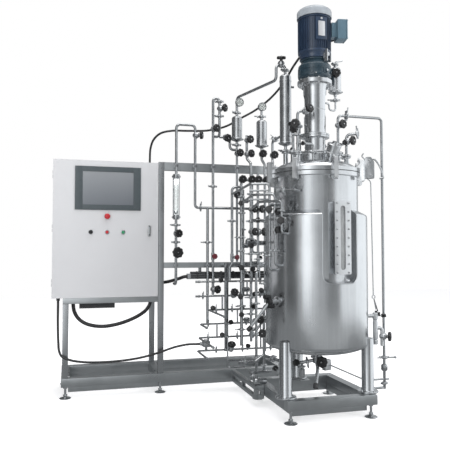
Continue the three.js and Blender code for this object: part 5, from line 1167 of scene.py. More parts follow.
arm_object = arm.object("lid_hinge_bracket", [satin])
settle(merged("vessel_lid", head_object, clamps_object, arm_object), "skid", "head_plate")
fitting = Made()
fitting.turned([(0, 106), (43, 106), (45, 108), (45, 113), (43.5, 114.5), (42, 115), (42, 150), (44.5, 151),
    (44.5, 163), (41, 167), (20, 169), (18, 172), (18, 182), (0, 183)], foot, lean, 48)
fitting.rod(foot + lean * 110 + AXIS_X * 40, foot + lean * 110 + AXIS_X * 62, 4, 16)
for x, y, low, height, radius, bend in ((100, -62, 1590, 128, 11, (70, 10)),
    (66, 78, 1590, 196, 13, (-46, 30)), (-66, -118, 1586, 108, 10, (-58, -12)),
    (-88, 48, 1596, 250, 10, (-62, -26)), (28, 140, 1586, 150, 12, (60, 26)),
    (150, 84, 1572, 104, 10, (44, -22)), (-28, 170, 1580, 120, 9, (-70, 10)),
    (196, 44, 1556, 90, 9, (34, 18)),):
    fitting.turned([(0, 0), (radius, 0), (radius, height * 0.5), (0, height * 0.5)], V(x, y, low), steps=24)
    fitting.tube([V(x, y, low + height * 0.4), V(x, y, low + height),
        V(x + bend[0], y + bend[1], low + height)], 0.72 * radius, 1.5 * radius, 16)
    lid_stubs.append((V(x, y, low + height * 0.52), V(x + bend[0], y + bend[1], low + height), bend, radius))
fitting.settle("lid_sight_lamp_and_stubs", [satin])
lever = Made()
pin = Vector(V(0, 0, 1602)) + out * 346
lever.along(smooth_line([pin - out * 4, pin + out * 26 + UP * 8, pin + out * 62 - UP * 40,
    pin + out * 84 - UP * 112], 8), 5.5, 12)
lever.rod(pin + out * 84 - UP * 112 + out * 2, pin + out * 60 - UP * 116, 6.5, 16)
hook = pin - out * 44
lever.along(smooth_line([hook - UP * 30, hook + UP * 6 + out * 12, hook + UP * 30 - out * 4,
    hook + UP * 48 + out * 6], 8), 4.5, 12)
lever.settle("lid_lifting_lever", [satin])

# ---- Drive --------------------------------------------------------------------------------------
# A mechanical seal, an open steel lantern, a cast gearbox and a fan-cooled motor stand on the lid.
# Castings are enamelled blue; the lantern and seal housing are turned stainless steel.
def enamel(name, colour):
    """Sprayed enamel on cast iron: sand-cast unevenness under the gloss, rubbed lighter in places."""
    made = mottled(name, shades(colour, 0.8, 1.25), 0.32, 0.08, 0.1, 240, 0.4, 11.0)
    feed(made.node_tree, made.node_tree.nodes["Principled BSDF"], {"Coat Weight": 0.25,
        "Coat Roughness": 0.15})
    return made


gear_blue = enamel("gearbox_blue", (0.017, 0.038, 0.054))
cowl_grey = enamel("cowl_grey_blue", (0.33, 0.36, 0.39))
motor_navy = enamel("motor_navy", (0.018, 0.036, 0.072))
box_blue = enamel("terminal_box_blue", (0.085, 0.150, 0.195))
plate_bright, tree, shader = new_material("engraved_plate", 0.3, 0.6)
stamped = use(tree, grain, Stretch=(400, 400, 12), Depth=0.1).outputs
feed(tree, shader, {"Base Color": mix(tree, (0.56, 0.57, 0.59), (0.72, 0.73, 0.75), stamped["Mask"]),
    "Normal": stamped["Normal"]})

seal = Made()
seal.turned([(20.3, 1644.9), (103, 1644.9), (104, 1646), (104, 1661), (102.5, 1662.9), (72, 1662.9),
    (68, 1664), (66, 1668), (66, 1690), (67.5, 1691), (67.5, 1701), (66, 1702), (66, 1744), (68, 1750),
    (74, 1753), (91, 1754.9), (92, 1756), (92, 1765.5), (91, 1766.9), (20.3, 1766.9), (20.3, 1644.9)],
    V(0, 0), steps=80)
for degrees in (20, 200):
    start = around(60, degrees, 1716)
    seal.rod(start, around(92, degrees, 1716), 8, 24)
    seal.rod(around(88, degrees, 1716), around(97, degrees, 1716), 12.5, 6)
seal.settle("seal_body", [polished], "seal_housing", "pipe_steel")
settle(ring_of("seal_flange_bolts", hex_head, zinc, V(0, 0, 1663.2), 88, 8, 22.5), "skid")

lantern = Made()
lantern.turned([(72, 1767.2), (91.5, 1767.2), (92, 1768), (92, 1780), (90.5, 1781.2), (80, 1782.5),
    (69, 1788), (71.5, 1936), (73.3, 1937.2), (73.3, 1940.8), (72.5, 1942), (75, 2080), (77, 2094),
    (84, 2104), (111, 2105), (112.5, 2107), (112.5, 2129.5), (111, 2131.2), (32, 2131.2), (32, 2121.2),
    (69, 2117.2), (66, 1790), (72, 1767.2)], V(0, 0), steps=96)
window = rounded([(-34, 1894.2), (34, 1894.2), (34, 2044.2), (-34, 2044.2)], [30] * 4, 8)
turn = math.radians(70)
through = Made().prism(window, axis_foot - Vector((-math.sin(turn), math.cos(turn), 0)) * 150,
    (math.cos(turn), math.sin(turn), 0), UP, -300)
settle(carved(lantern.object("drive_lantern", [polished]), through.object("window", [polished])), "skid",
    "lantern")
settle(ring_of("lantern_flange_bolts", hex_head, zinc, V(0, 0, 2131.4), 101.5, 10, 8), "skid")
lower_nuts = item(Made().turned([(0, 0.6), (7.6, 0), (8, -0.8), (8, -6), (7, -7), (0, -7)], (0, 0, 0),
    steps=6), "nut", zinc)
settle(ring_of("lantern_flange_nuts", lower_nuts, zinc, V(0, 0, 2105.3), 100, 10, 8), "skid")
drop(lower_nuts)

gear = Made()
gear.turned([(20.3, 2131.5), (92, 2131.5), (95, 2133), (97, 2142), (105, 2149), (107, 2153), (107, 2164),
    (106, 2166), (106, 2196), (108.5, 2198), (108.5, 2212), (106, 2214), (106, 2226), (104, 2230),
    (96, 2238), (86, 2252), (83, 2258.5), (88, 2261), (89.5, 2263), (89.5, 2269.5), (88, 2270.5),
    (14.3, 2270.5), (14.3, 2203.5), (20.3, 2199.5), (20.3, 2131.5)], V(0, 0), steps=96)
for k in range(8):
    degrees = 12 + 45 * k
    x, y, _ = around(103, degrees)
    gear.slab((x - 7, y - 6, 2163), (x + 7, y + 6, 2199), 2.5, degrees, (x, y))
for degrees, z, radius in ((292, 2182, 13), (250, 2158, 9), (318, 2180, 7)):
    gear.rod(around(98, degrees, z), around(113, degrees, z), radius, 24)
gear.finish = 1
gear.rod(around(113, 292, 2182), around(116, 292, 2182), 8, 6)
gear.rod(around(113, 250, 2158), around(117, 250, 2158), 5.5, 6)
gear.settle("gearbox_casting", [gear_blue, zinc], "gearbox", "gearbox_paint")
settle(ring_of("gearbox_bolts", hex_head, gear_blue, V(0, 0, 2212.5), 99, 8, 34), "skid")
drop(hex_head)

motor = Made()
motor.turned([(15.2, 2270.8), (95, 2270.8), (97, 2272.5), (97, 2279), (95.4, 2281), (96.5, 2290),
    (100, 2303), (106, 2309), (107.5, 2313), (107.5, 2322), (104, 2324), (101, 2325), (101, 2531),
    (106, 2532.8), (108, 2535), (108, 2542.5), (107, 2544.8), (40, 2544.8), (15.2, 2535), (40, 2530.8),
    (40, 2324.8), (15.2, 2320.8), (15.2, 2270.8)], V(0, 0), steps=96)
motor = motor.object("motor_body", [motor_navy])
fin = Made().slab((-7, -1.5, 0), (1.3, 1.5, 204), 0.8)
fin = item(fin, "fin", motor_navy)
fins = ring_of("motor_fins", fin, motor_navy, V(0, 0, 2326), 107, 44)
drop(fin)
settle(merged("motor_frame", motor, fins), "skid", "motor_housing")
label = Made()
angle = 271
label.slab(V(107.4, -23, 2400), V(110, 23, 2496), 0.8, angle, V(0, 0))
turn = math.radians(angle)
way = (math.cos(turn), math.sin(turn), 0)
for dy in (-19, 19):
    for z in (2405, 2491):
        x, y = 110 * way[0] - dy * way[1], 110 * way[1] + dy * way[0]
        label.turned([(0, 0), (2.6, 0), (2, 1.4), (0, 1.8)], V(x, y, z), way, 12)
label.turned([(0, 0), (7, 0), (7, 1.6), (6, 2.6), (0, 2.6)], around(108.2, angle, 2514), way, 24)
label.finish = 1
label.slab(V(96, -41, 2378), V(108, 41, 2524), 3, angle, V(0, 0))
label.settle("motor_blank_plate", [plate_bright, motor_navy])
lug = Made()
lug.slab(V(88, -30, 2262), V(94, 34, 2322), 2, 300, V(0, 0))
lug.slab(V(93, -26, 2240), V(118, -18, 2318), 2, 300, V(0, 0))
lug.slab(V(93, 20, 2244), V(114, 28, 2300), 2, 300, V(0, 0))
lug.rod(around(95, 296, 2288), around(116, 296, 2288), 13, 28)
lug.settle("motor_flange_bracket", [satin])

cowl = Made()
cowl.turned([(110, 2545.1), (113.4, 2545.1), (114.4, 2547), (114.4, 2552), (113.6, 2553), (113.6, 2583),
    (111, 2591), (104, 2599), (92, 2607), (74, 2612.4), (60, 2613.1), (0, 2613.1), (0, 2609.1), (72, 2609.1),
    (110, 2585.1), (110, 2545.1)], V(0, 0), steps=96)
cowl = cowl.object("fan_cowl_shell", [cowl_grey])
slots = Made()
for k in range(24):
    slots.slab(V(30, -3.2, 2604), V(62, 3.2, 2618), 1.2, 15 * k, V(0, 0))
cowl = carved(cowl, slots.object("slots", [cowl_grey]))
straps = Made()
for degrees in (30, 150, 270):
    straps.slab(V(96, -8, 2545.3), V(112, 8, 2553), 1, degrees - 90, V(0, 0))
settle(merged("motor_fan_cowl", cowl, straps.object("straps", [motor_navy])), "skid", "fan_cowl")
rotor = Made()
rotor.turned([(0, 2205.5), (13, 2205.5), (14, 2207), (14, 2330.8), (36, 2334.8), (36, 2520.8), (14, 2524.8),
    (14, 2593), (12, 2594.8), (0, 2594.8)], V(0, 0), steps=48)
rotor.finish = 1
rotor.turned([(14, 2558.8), (86, 2558.8), (86, 2562.8), (30, 2564), (26, 2590), (14, 2590), (14, 2558.8)],
    V(0, 0), steps=64)
for k in range(5):
    rotor.slab(V(24, -2, 2561.8), V(84, 2, 2588.8), 1.2, 72 * k - 90, V(0, 0))
rotor.settle("motor_rotor_and_fan", [satin, gland_grey], "motor_rotor", "shaft_steel", body="rotor")

terminal = Made()
side = 350  # the way the terminal box faces, round from the vessel's right
centre = V(0, 0)
terminal.slab(V(108.5, -30, 2425), V(146, 30, 2520.6), 3, side, centre)
terminal.slab(V(144.4, -46, 2409), V(203, 46, 2540.6), 9, side, centre)
terminal.slab(V(203.2, -46, 2409), V(212.2, 46, 2540.6), 4, side, centre)
turn = math.radians(side)
for dy in (-38, 38):
    for z in (2417, 2532.6):
        x, y = 212.2 * math.cos(turn) - dy * math.sin(turn), 212.2 * math.sin(turn) + dy * math.cos(turn)
        terminal.turned([(0, 0), (4.5, 0), (4.5, 1.5), (3.5, 2.6), (0, 2.6)], V(x, y, z),
            (math.cos(turn), math.sin(turn), 0), 16)
terminal.finish = 1
cable_gland(terminal, V(183.3, 14.4, 2459.8), (-math.sin(turn), math.cos(turn), 0), 8)
terminal.settle("motor_terminal_box", [box_blue, gland_grey], "terminal_box", "motor_paint")

# ---- Agitator -----------------------------------------------------------------------------------
# A ground shaft through the seal, with a split coupling in the lantern and two flat-bladed impellers.
shaft = Made()
shaft.turned([(0, 500), (18, 500), (20, 502), (20, 1856.9), (40, 1856.9), (42, 1859), (42, 1899), (40, 1900),
    (40, 1903.6), (42, 1905), (42, 1945), (40, 1946.9), (20, 1946.9), (20, 2189.5), (18.5, 2191.5),
    (0, 2191.5)], V(0, 0), steps=64)
shaft.settle("drive_shaft", [satin], "agitator_shaft", "shaft_steel", body="agitator")
for name, low in (("impeller_1", 532), ("impeller_2", 832)):
    wheel = Made()
    wheel.turned([(20.3, low), (33, low), (34, low + 1), (34, low + 55), (33, low + 56), (20.3, low + 56),
        (20.3, low)], V(0, 0), steps=48)
    for k in range(4):
        wheel.slab(V(28, -3, low + 4), V(88, 3, low + 52), 1.2, 90 * k - 90, V(0, 0))
    wheel.rod(V(30, 12, low + 28), V(39, 14, low + 28), 4, 6)
    wheel.settle(name + "_blades", [satin], name, "shaft_steel", body="agitator")

# ---- Pipework on the rack -----------------------------------------------------------------------
# Drawn stainless tube with machine-made bends, joined by sanitary clamps and held off the rack by blocks.
# Air comes up through a flow meter, then two filters; the clamps, valves and dials are set out further on.
pipe_bright = brushed_steel("bright_pipe", (0.50, 0.51, 0.52), 0.17, (120, 120, 120), 0.03, 22.0)
clamps, valves, dials, small_knobs = [], [], [], []
for root, end, (dx, dy), radius in lid_stubs:
    clamps.append((root, UP, 1.9 * radius))
    small_knobs.append((end, (0.2, -0.9, 0.3), 0.62) if dy > 0 else (end, (dx, dy, 0), 0.5))


def housing(made, at, height, radius=39):
    """A filter bowl on its clamped base, with a domed top."""
    x, y, z = at
    dome, base = 0.55 * radius, 1.12 * radius
    cap = [(radius * math.cos(a), height - dome + dome * math.sin(a)) for a in (math.pi / 2 * k / 10
        for k in range(9))]
    made.turned([(0, 0), (10, 0), (10, 8), (14, 14), (base - 6, 23), (base - 1, 25), (base, 27), (base, 30),
        (base - 2.5, 31), (base, 32), (base, 35), (base - 1, 36.5), (radius + 0.5, 39), (radius, 43), *cap,
        (10, height - 0.3), (10, height + 14), (0, height + 14)], at, steps=56)
    made.rod((x - base - 2, y - 9, z + 31), (x - base - 2, y + 9, z + 31), 5, 16)
    made.rod((x + base + 2, y - 14, z + 31), (x + base + 2, y + 14, z + 31), 3.5, 16)
    made.slab((x + base, y - 18, z + 27), (x + base + 5, y + 18, z + 35), 1.5)


def dial_gauge(made, at, root):
    """A dial's steel case with its rolled bezel, on a short square-shouldered stem."""
    radius = 31
    made.turned([(0, -13), (radius - 3, -13), (radius - 1, -11), (radius - 1, 7), (radius + 1, 8),
        (radius + 1.4, 10), (radius + 0.6, 13), (radius - 2.6, 13), (radius - 3.4, 11), (radius - 3.6, 9.6),
        (0, 9.6)], at, FRONT, 56)
    made.rod(at, root, 5.5, 20)
    made.rod(Vector(at).lerp(Vector(root), 0.62), Vector(at).lerp(Vector(root), 0.86), 8.5, 6)
    dials.append((at, radius))


def hold(made, x, z):
    """A split block that clips a tube to a beam."""
    y = -60
    made.slab((x - 13, y - 13, z - 8), (x + 13, y + 13, z + 8), 2.5)
    made.slab((x - 5, y + 10, z - 6), (x + 5, -20.4, z + 6), 1)
    for dx in (-9.5, 9.5):
        made.turned([(0, 0), (3.2, 0), (3.2, 2), (2.4, 3), (0, 3)], (x + dx, y - 13, z), FRONT, 12)


air = Made()
air.tube([(767, 10, 782), (767, -60, 782), (767, -60, 1255)], 10)
air.tube([(767, -60, 1578), (767, -60, 1950), (908, -60, 1950), (908, -60, 1340), (954.9, -60, 1340)], 10)
for z in (1251, 1548.3):
    air.turned([(0, 0), (22, 0), (24, 2), (24, 8), (31, 9.5), (31.5, 11), (31.5, 20), (31, 21.5), (25, 23),
        (24, 31), (22, 33.2), (0, 33.4)], (767, -60, z), steps=48)
for k in range(4):
    a = math.radians(45 + 90 * k)
    air.rod((767 + 27 * math.cos(a), -60 + 27 * math.sin(a), 1266), (767 + 27 * math.cos(a),
        -60 + 27 * math.sin(a), 1566), 2.8, 12)
for x, z in ((767, 917), (767, 1644), (908, 1644)):
    hold(air, x, z)
clamps += [((767, -60, 1085), UP, 25), ((767, -60, 1210), UP, 25), ((950, -60, 1340), AXIS_X, 21)]
valves += [((767, -60, 1010), (0.12, -0.99, 0), 0), ((767, -60, 1148), (0.27, -0.96, 0), 0),
    ((908, -60, 1875), (0.88, -0.47, 0), 1)]
air.settle("air_inlet_tube", [pipe_bright], "air_inlet_line", "pipe_steel")

gauge_tube = Made()
gauge_tube.turned([(16.8, 1285), (20, 1285), (20, 1548), (16.8, 1548), (16.8, 1285)], (767, -60, 0),
    steps=48)
gauge_tube.settle("flow_meter_glass", [glass], "flow_meter_tube", "clear_glass")
bob = Made().turned([(0, 1286), (3, 1287), (15.5, 1301), (16, 1303), (16, 1309), (14.5, 1311), (3, 1314),
    (0, 1316)], (767, -60, 0), steps=40)
bob.settle("flow_meter_bob", [satin], "flow_meter_float", "pipe_steel", body="meter_float")

sterile = Made()
sterile.tube([(1044, -60, 700), (1044, -60, 2162), (1094, -60, 2162), (1094, -60, 1873), (1044, -60, 1873)],
    10)
sterile.tube([(1094, -60, 1873), (1174, -60, 1873), (1174, -60, 1781), (1230, -60, 1781)], 10)
sterile.tube([(1230, -60, 1830.7), (1230, -60, 940)], 9)
sterile.tube([(1355, -60, 1340), (955.1, -60, 1340)], 10)
sterile.tube([(1003, -60, 1340), (1003, -60, 480)], 10)
for x, z in ((1044, 1644), (1230, 1644), (1044, 917), (1003, 917)):
    hold(sterile, x, z)
sterile.rod((1044, -60, 982), (1044, -92, 982), 9, 20)
sterile.rod((1044, -60, 955), (1044, -60, 1008), 13, 24, soft=1.5)
clamps += [((1094, -60, 2140), UP, 25), ((1094, -60, 2030), UP, 25), ((1230, -60, 1819), UP, 25),
    ((1003, -60, 1085), UP, 24), ((1044, -60, 1500), UP, 24)]
valves += [((1094, -60, 2088), (0.7, -0.71, 0), 0), ((1044, -60, 1930), (0.34, -0.94, 0), 1),
    ((1138, -60, 1873), (0.19, -0.94, -0.28), 1), ((1230, -60, 1755), (0.29, -0.96, 0), 1),
    ((1230, -60, 1440), (-0.2, -0.98, 0), 1), ((1044, -60, 740), (0.57, -0.82, 0), 1)]
sterile.settle("sterile_air_tube", [pipe_bright], "sterile_air_line", "pipe_steel")

bowl = Made()
housing(bowl, (1230, -60, 1831), 209)
bowl.settle("exhaust_filter_bowl", [satin], "exhaust_filter", "pipe_steel")
bowl = Made()
housing(bowl, (1396, -150, 1774), 226)
bowl.rod((1396, -150, 2000), (1396, -150, 2068), 9, 20)
dial_gauge(bowl, (1396, -158, 2096), (1396, -150, 2060))
clamps += [((1396, -150, 2024), UP, 25)]
bowl.settle("air_filter_bowl", [satin], "inlet_air_filter", "pipe_steel")

# ---- Valve manifold and utility rows ------------------------------------------------------------
# Uprights and cross tubes in front of the rack share out steam, water and air to the vessel.
# Six thin service tubes run level below the middle beam, their ends turned out for hoses.
manifold = Made()
for run, radius in (([(1237, -150, 1545), (1237, -150, 1490), (1165, -150, 1490), (1165, -150, 925),
    (1145, -150, 905), (1145, -150, 803)], 10), ([(1237, -150, 1500), (1237, -150, 334)], 12),
    ([(1292, -110, 1885), (1292, -110, 1710), (1310, -150, 1670), (1310, -150, 360)], 10),
    ([(1365, -150, 1600), (1365, -150, 870), (1333, -200, 870), (1333, -200, 122)], 10),
    ([(1396, -150, 1774), (1396, -150, 1700), (1420, -150, 1664), (1420, -150, 640)], 10),
    ([(1420, -150, 1640), (1482, -150, 1640), (1482, -150, 1848), (1482, -210, 1848)], 10),
    ([(1420, -150, 1147), (1461.3, -322, 1147), (1486, -424.8, 1147)], 10),
    ([(1237, -150, 1545), (1420, -150, 1545)], 10), ([(1310, -150, 1330), (1420, -150, 1330)], 10),
    ([(1310, -150, 1162), (1420, -150, 1162)], 10),):
    manifold.tube(run, radius)
manifold.slab((1177, -142, 903), (1510, -20.4, 911), 1)
manifold.turned([(0, 0), (22, 0), (25, 2), (26, 5), (26, 72), (25, 75), (22, 77), (0, 77)],
    (1272, -150, 1083), AXIS_X, 40)
manifold.rod((1165, -150, 976), (1179, -180, 976), 9, 20)
manifold.rod((1165, -150, 950), (1165, -150, 1002), 13, 24, soft=1.5)
for run, radius in (([(1237, -150, 1390), (1310, -150, 1390)], 7), ([(1310, -150, 1250), (1340, -190, 1250),
    (1420, -190, 1250), (1420, -150, 1250)], 7), ([(1237, -150, 1060), (1310, -150, 1060)], 8),
    ([(1365, -150, 1080), (1420, -150, 1080)], 8), ([(1310, -150, 930), (1365, -150, 930)], 7),
    ([(1237, -150, 860), (1275, -190, 860), (1310, -190, 820), (1310, -150, 780)], 7),
    ([(1237, -150, 740), (1310, -150, 740)], 8), ([(1333, -200, 720), (1420, -200, 720), (1420, -150, 690)],
    8), ([(1237, -150, 520), (1310, -150, 520)], 7), ([(1333, -200, 430), (1390, -230, 430),
    (1390, -230, 300)], 8), ([(1340, -96, 1600), (1340, -96, 1010), (1392, -96, 1010), (1392, -96, 800)], 7),
    ([(1270, -96, 1480), (1270, -96, 700)], 6),):
    manifold.tube(run, radius, None, 12)
for x, z in ((1270, 1390), (1270, 1060), (1392, 1080), (1340, 930), (1275, 740), (1375, 720), (1275, 520)):
    y = -200 if z == 720 else -150
    manifold.turned([(0, -20), (14, -20), (17, -16), (17, 16), (14, 20), (0, 20)], (x, y, z), AXIS_X, 24)
clamps += [((1483.5, -414, 1147), (0.22, -0.97, 0), 23), ((1482, -202, 1848), (0, 1, 0), 21),
    *[((x, -150, 1240), UP, 25) for x in (1165, 1310, 1365, 1420)],
    *[((x, -150, z), UP, 23) for x, z in ((1237, 1420), (1310, 1440), (1365, 1440), (1420, 1440),
    (1237, 1120), (1310, 1000), (1365, 1000), (1420, 1010), (1237, 620), (1310, 560))]]
valves += [((1237, -150, 1545), (-0.05, -1, 0), 1), ((1310, -150, 1545), (-0.1, -1, 0), 1),
    ((1365, -150, 1545), (-0.2, -0.98, 0), 1), ((1310, -150, 1330), (0.41, -0.91, 0), 1),
    ((1365, -150, 1330), (0.45, -0.89, 0), 1), ((1310, -150, 1162), (0.41, -0.91, 0), 1),
    ((1365, -150, 1162), (0.77, -0.64, 0), 1), ((1420, -150, 1545), (0, -1, 0), 0),
    ((1292, -110, 1850), (0.29, -0.96, 0), 1), ((1292, -110, 1745), (0.51, -0.86, 0), 1),
    ((1396, -150, 1740), (-0.1, -1, 0), 1), ((1482, -150, 1735), (0, -1, 0), 1),
    ((1459.9, -316.2, 1147), (-0.45, -0.89, 0), 1)]
clamps += [((x, y, z), UP, size) for x, y, z, size in ((1237, -150, 1300, 23), (1237, -150, 1020, 23),
    (1310, -150, 1110, 22), (1365, -150, 960, 22), (1420, -150, 930, 22), (1237, -150, 800, 22),
    (1310, -150, 680, 22), (1420, -150, 780, 22), (1333, -200, 640, 22), (1333, -200, 520, 22),
    (1237, -150, 450, 22), (1310, -150, 450, 22), (1340, -96, 1180, 18), (1392, -96, 900, 18),
    (1270, -96, 1180, 17), (1270, -96, 880, 17), (1333, -200, 250, 22))]
small_knobs += [((x, y, z), way, size) for x, y, z, way, size in ((1310, -150, 1060, (-0.2, -0.98, 0), 0.7),
    (1420, -150, 1080, (0.1, -1, 0), 0.72), (1365, -150, 1250, (-0.3, -0.95, 0), 0.7),
    (1237, -150, 1370, (-0.4, -0.9, 0), 0.7), (1237, -150, 900, (-0.3, -0.95, 0), 0.72),
    (1310, -150, 890, (0.2, -0.98, 0), 0.7), (1365, -200, 720, (0, -0.8, 0.6), 0.7),
    (1237, -150, 690, (-0.5, -0.86, 0), 0.72), (1420, -150, 860, (0.2, -0.98, 0), 0.7),
    (1310, -150, 620, (0.3, -0.95, 0), 0.72), (1390, -230, 380, (0.4, -0.9, 0), 0.72),
    (1392, -96, 970, (0, -1, 0), 0.6), (1237, -150, 560, (-0.3, -0.95, 0), 0.7))]
manifold.settle("manifold_tubes", [pipe_bright], "valve_manifold", "pipe_steel")

# Three risers in front of the vessel's wall take their supply from the uprights and end in the jacket.
risers = Made()
stand = {bearing: around(368, bearing) for bearing in (196, 204, 212)}
for bearing, foot, top, side, upright in ((196, 905, 1437, 1092, 1165), (204, 935, 1369, 1108, 1237),
    (212, 1130, 1326, 1150, 1310)):
    x, y, _ = stand[bearing]
    risers.tube([around(323, bearing, foot), (x, y, foot), (x, y, top), (side, -800, top),
        (upright, -150, top)], 8, 22)
    clamps += [((x, y, z), UP, 20) for z in (foot + 90, top - 60)]
for first, last, z in ((196, 212, 1300), (196, 204, 1216), (204, 212, 1246), (196, 204, 1075)):
    risers.tube([around(368, first, z), around(368, last, z)], 7, None, 12)
risers.tube([around(368, 204, 1384), around(372, 218, 1384), around(372, 226, 1384)], 8, 30)
risers.rod(around(372, 226, 1384), around(290, 226, 1384), 8, 20)
for bearing, z in ((196, 1277), (204, 1262), (204, 1150), (212, 1205)):
    x, y, _ = stand[bearing]
    risers.rod((x, y, z - 26), (x, y, z + 26), 12, 24, soft=2)
    small_knobs += [((x, y, z), (-0.45 if z % 2 else 0.2, -0.9, 0), 0.8)]
clamps += [(around(368, 208, 1384), (0.72, -0.69, 0), 22), (around(371, 215, 1384), (0.72, -0.69, 0), 22)]
for z in (1340, 1395):
    risers.tube([(1085, -806, z), (1150, -828, z), around(368, 196, z)], 6, None, 12)
risers.settle("jacket_risers", [pipe_bright])

rows = Made()
for z, start, out in ((798, 912, 0), (693, 912, 0), (592, 1003, 440), (491, 940, 200), (394, 930, 424),
    (300, 920, 300)):
    rows.tube([(1550, -96, z), (start, -96, z)] + ([(start, -96 - out, z)] if out else []), 7, 20)
    end, way = ((start, -96 - out, z), FRONT) if out else ((start, -96, z), -AXIS_X)
    rows.turned([(5, -4), (9, -3.5), (9.5, 4), (9.5, 14), (8, 16), (8, 26), (9, 27), (9, 30), (5, 31),
        (5, -4)], Vector(end) - way * 24, way, 20)
for x0, x1 in ((1126, 1154), (1522, 1550)):
    rows.slab((x0, -93, 288), (x1, -76, 931), 1.5)
    rows.slab((x0, -92, 915), (x1, -20.4, 931), 1.5)
    for z in (798, 693, 592, 491, 394, 300):
        rows.slab((x0 + 3, -106, z - 10), (x1 - 3, -90, z + 10), 2)
for run in ([(1100, -96, 693), (1100, -118, 693), (1100, -118, 592), (1100, -96, 592)],
    [(1215, -96, 592), (1215, -118, 592), (1215, -118, 491), (1215, -96, 491)],
    [(1060, -96, 491), (1060, -118, 491), (1060, -118, 394), (1060, -96, 394)],
    [(1290, -96, 798), (1290, -118, 798), (1290, -118, 693), (1290, -96, 693)],
    [(1450, -96, 592), (1450, -118, 592), (1450, -118, 394), (1450, -96, 394)],
    [(1395, -96, 491), (1395, -118, 491), (1395, -118, 300), (1395, -96, 300)],
    [(1140, -96, 394), (1140, -118, 394), (1140, -118, 200), (1140, -150, 180), (1260, -150, 180)]):
    rows.tube(run, 6, 14, 12)
clamps += [((x, -96, z), AXIS_X, 17) for x, z in ((1040, 798), (1250, 798), (1400, 798), (960, 693),
    (1240, 693), (1400, 693), (1060, 592), (1180, 592), (1340, 592), (1500, 592), (1000, 491), (1130, 491),
    (1290, 491), (1500, 491), (1000, 394), (1220, 394), (1400, 394), (1060, 300), (1260, 300), (1480, 300))]
small_knobs += [((x, -96, z), way, 0.66) for x, z, way in ((1090, 798, (0, -0.9, 0.4)), (1340, 693,
    (0.2, -0.9, 0.3)), (1030, 592, (0, -0.8, 0.6)), (1250, 592, (0, -0.9, 0.4)),
    (1160, 491, (0.2, -0.9, 0.4)), (1350, 491, (0, -0.8, 0.6)), (1100, 394, (0, -0.7, 0.7)),
    (1300, 300, (0, -0.5, 0.87)))]
rows.rod((985, -96, 300), (985, -96, 350), 9, 20)
rows.slab((960, -121, 328), (1010, -71, 370), 3)
rows.turned([(0, 0), (18, 0), (19, 1.5), (19, 8), (17, 10), (0, 10)], (985, -96, 370), steps=32)
cable_gland(rows, (960, -96, 350), -AXIS_X, 8)
valves += [((1190, -96, 693), (0, -0.8, 0.6), 1), ((1172, -96, 300), (0, -0.5, 0.87), 1),
    ((1335, -96, 394), (0, 0, 1), 1), ((1470, -96, 798), (0, -1, 0), 1)]
rows.settle("service_tubes", [pipe_bright], "utility_rows", "pipe_steel")

tray = Made()
tray.slab((862, -24, 814), (1589.6, 24, 816), 0.6)
for y0, y1 in ((-24, -22), (22, 24)):
    tray.slab((862, y0, 814.2), (1589.6, y1, 852), 0.6)
    tray.slab((862, y0 - 3 if y0 < 0 else y0, 850), (1589.6, y1 if y0 < 0 else y1 + 3, 852.6), 0.6)
for x in (952, 1184.8, 1417.7):
    tray.slab((x, 22, 851), (x + 24, 24.2, 896.6), 0.6)
tray.slab((1497.8, -24, 816), (1589.6, 24, 888.8), 3)
tray.slab((1499.5, -26, 820), (1587.5, -23, 886), 1.5)
for x in (1506, 1581):
    for z in (826, 880):
        tray.turned([(0, 0), (3.4, 0), (3.4, 1), (2.6, 1.8), (0, 1.8)], (x, -26, z), FRONT, 16)
tray.finish = 1
cable_gland(tray, (1497.7, 0, 828.6), -AXIS_X, 12)
tray.settle("cable_tray_channel", [satin, gland_grey], "cable_tray", "pipe_steel")
# Dark leads lashed along the tray's front, and a slotted wiring duct under the cabinet's floor.
leads = Made()
for k, (z, y, radius) in enumerate(((829, -33.5, 8), (844, -32, 6.5), (857, -24, 7.5), (860, -8, 7))):
    leads.along(smooth_line([Vector((x, y + 1.6 * math.sin(1.7 * k + x / 61),
        z + 1.8 * math.sin(k + x / 83))) for x in range(884, 1500, 44)], 3), radius, 12)
for x in range(930, 1490, 93):
    leads.slab((x, -44, 816), (x + 5, 6, 871), 2)
leads.slab((95, 96, 608), (345, 150, 650), 2)
for k in range(20):
    leads.slab((99 + 12.2 * k, 92.5, 612), (106 + 12.2 * k, 96, 646), 0.8)
for x in (140, 290):
    leads.slab((x, 110, 649), (x + 18, 136, 697), 1)
leads.settle("lashed_leads_and_duct", [gland_grey])

# ---- Lines round the vessel ---------------------------------------------------------------------
# Condenser, seal pot, spray, charging and inoculation lines stand on the lid's ports.
# Drains and traps lie low between the frames; a long line drops at the right to floor level.
drains = Made()
drains.tube([(1345, -330, 176), (1345, -330, 640), (1413, -461, 640)], 10)
drains.tube([(1160, -330, 250), (1282, -330, 250), (1345, -330, 292)], 11)
drains.tube([(1140, -136, 176), (1140, -136, 228), (1196, -270, 250), (1236, -330, 250)], 10)
drains.tube([(1400, -330, 176), (1236, -330, 176), (1236, -558.5, 168)], 11)
drains.turned([(0, 0), (17, 0), (20, 3), (22, 8), (22, 26), (24, 28), (24, 36), (22, 38), (22, 76), (19, 84),
    (12, 87), (0, 87)], (1195, -558.5, 168), AXIS_X, 40)
drains.rod((1216, -558.5, 180), (1216, -558.5, 204), 9, 6)
clamps += [((1205, -330, 250), AXIS_X, 21), ((1345, -330, 222), UP, 21),
    ((1404, -444, 640), (-0.46, 0.89, 0), 23), ((1236, -440, 172), (0, 1, 0), 20)]
valves += [((1345, -330, 450), (-0.51, -0.86, 0), 1), ((1345, -330, 545), (-0.74, -0.67, 0), 1)]
drains.rod((1420, -300, 615), (1295, -300, 457), 8.5, 20)
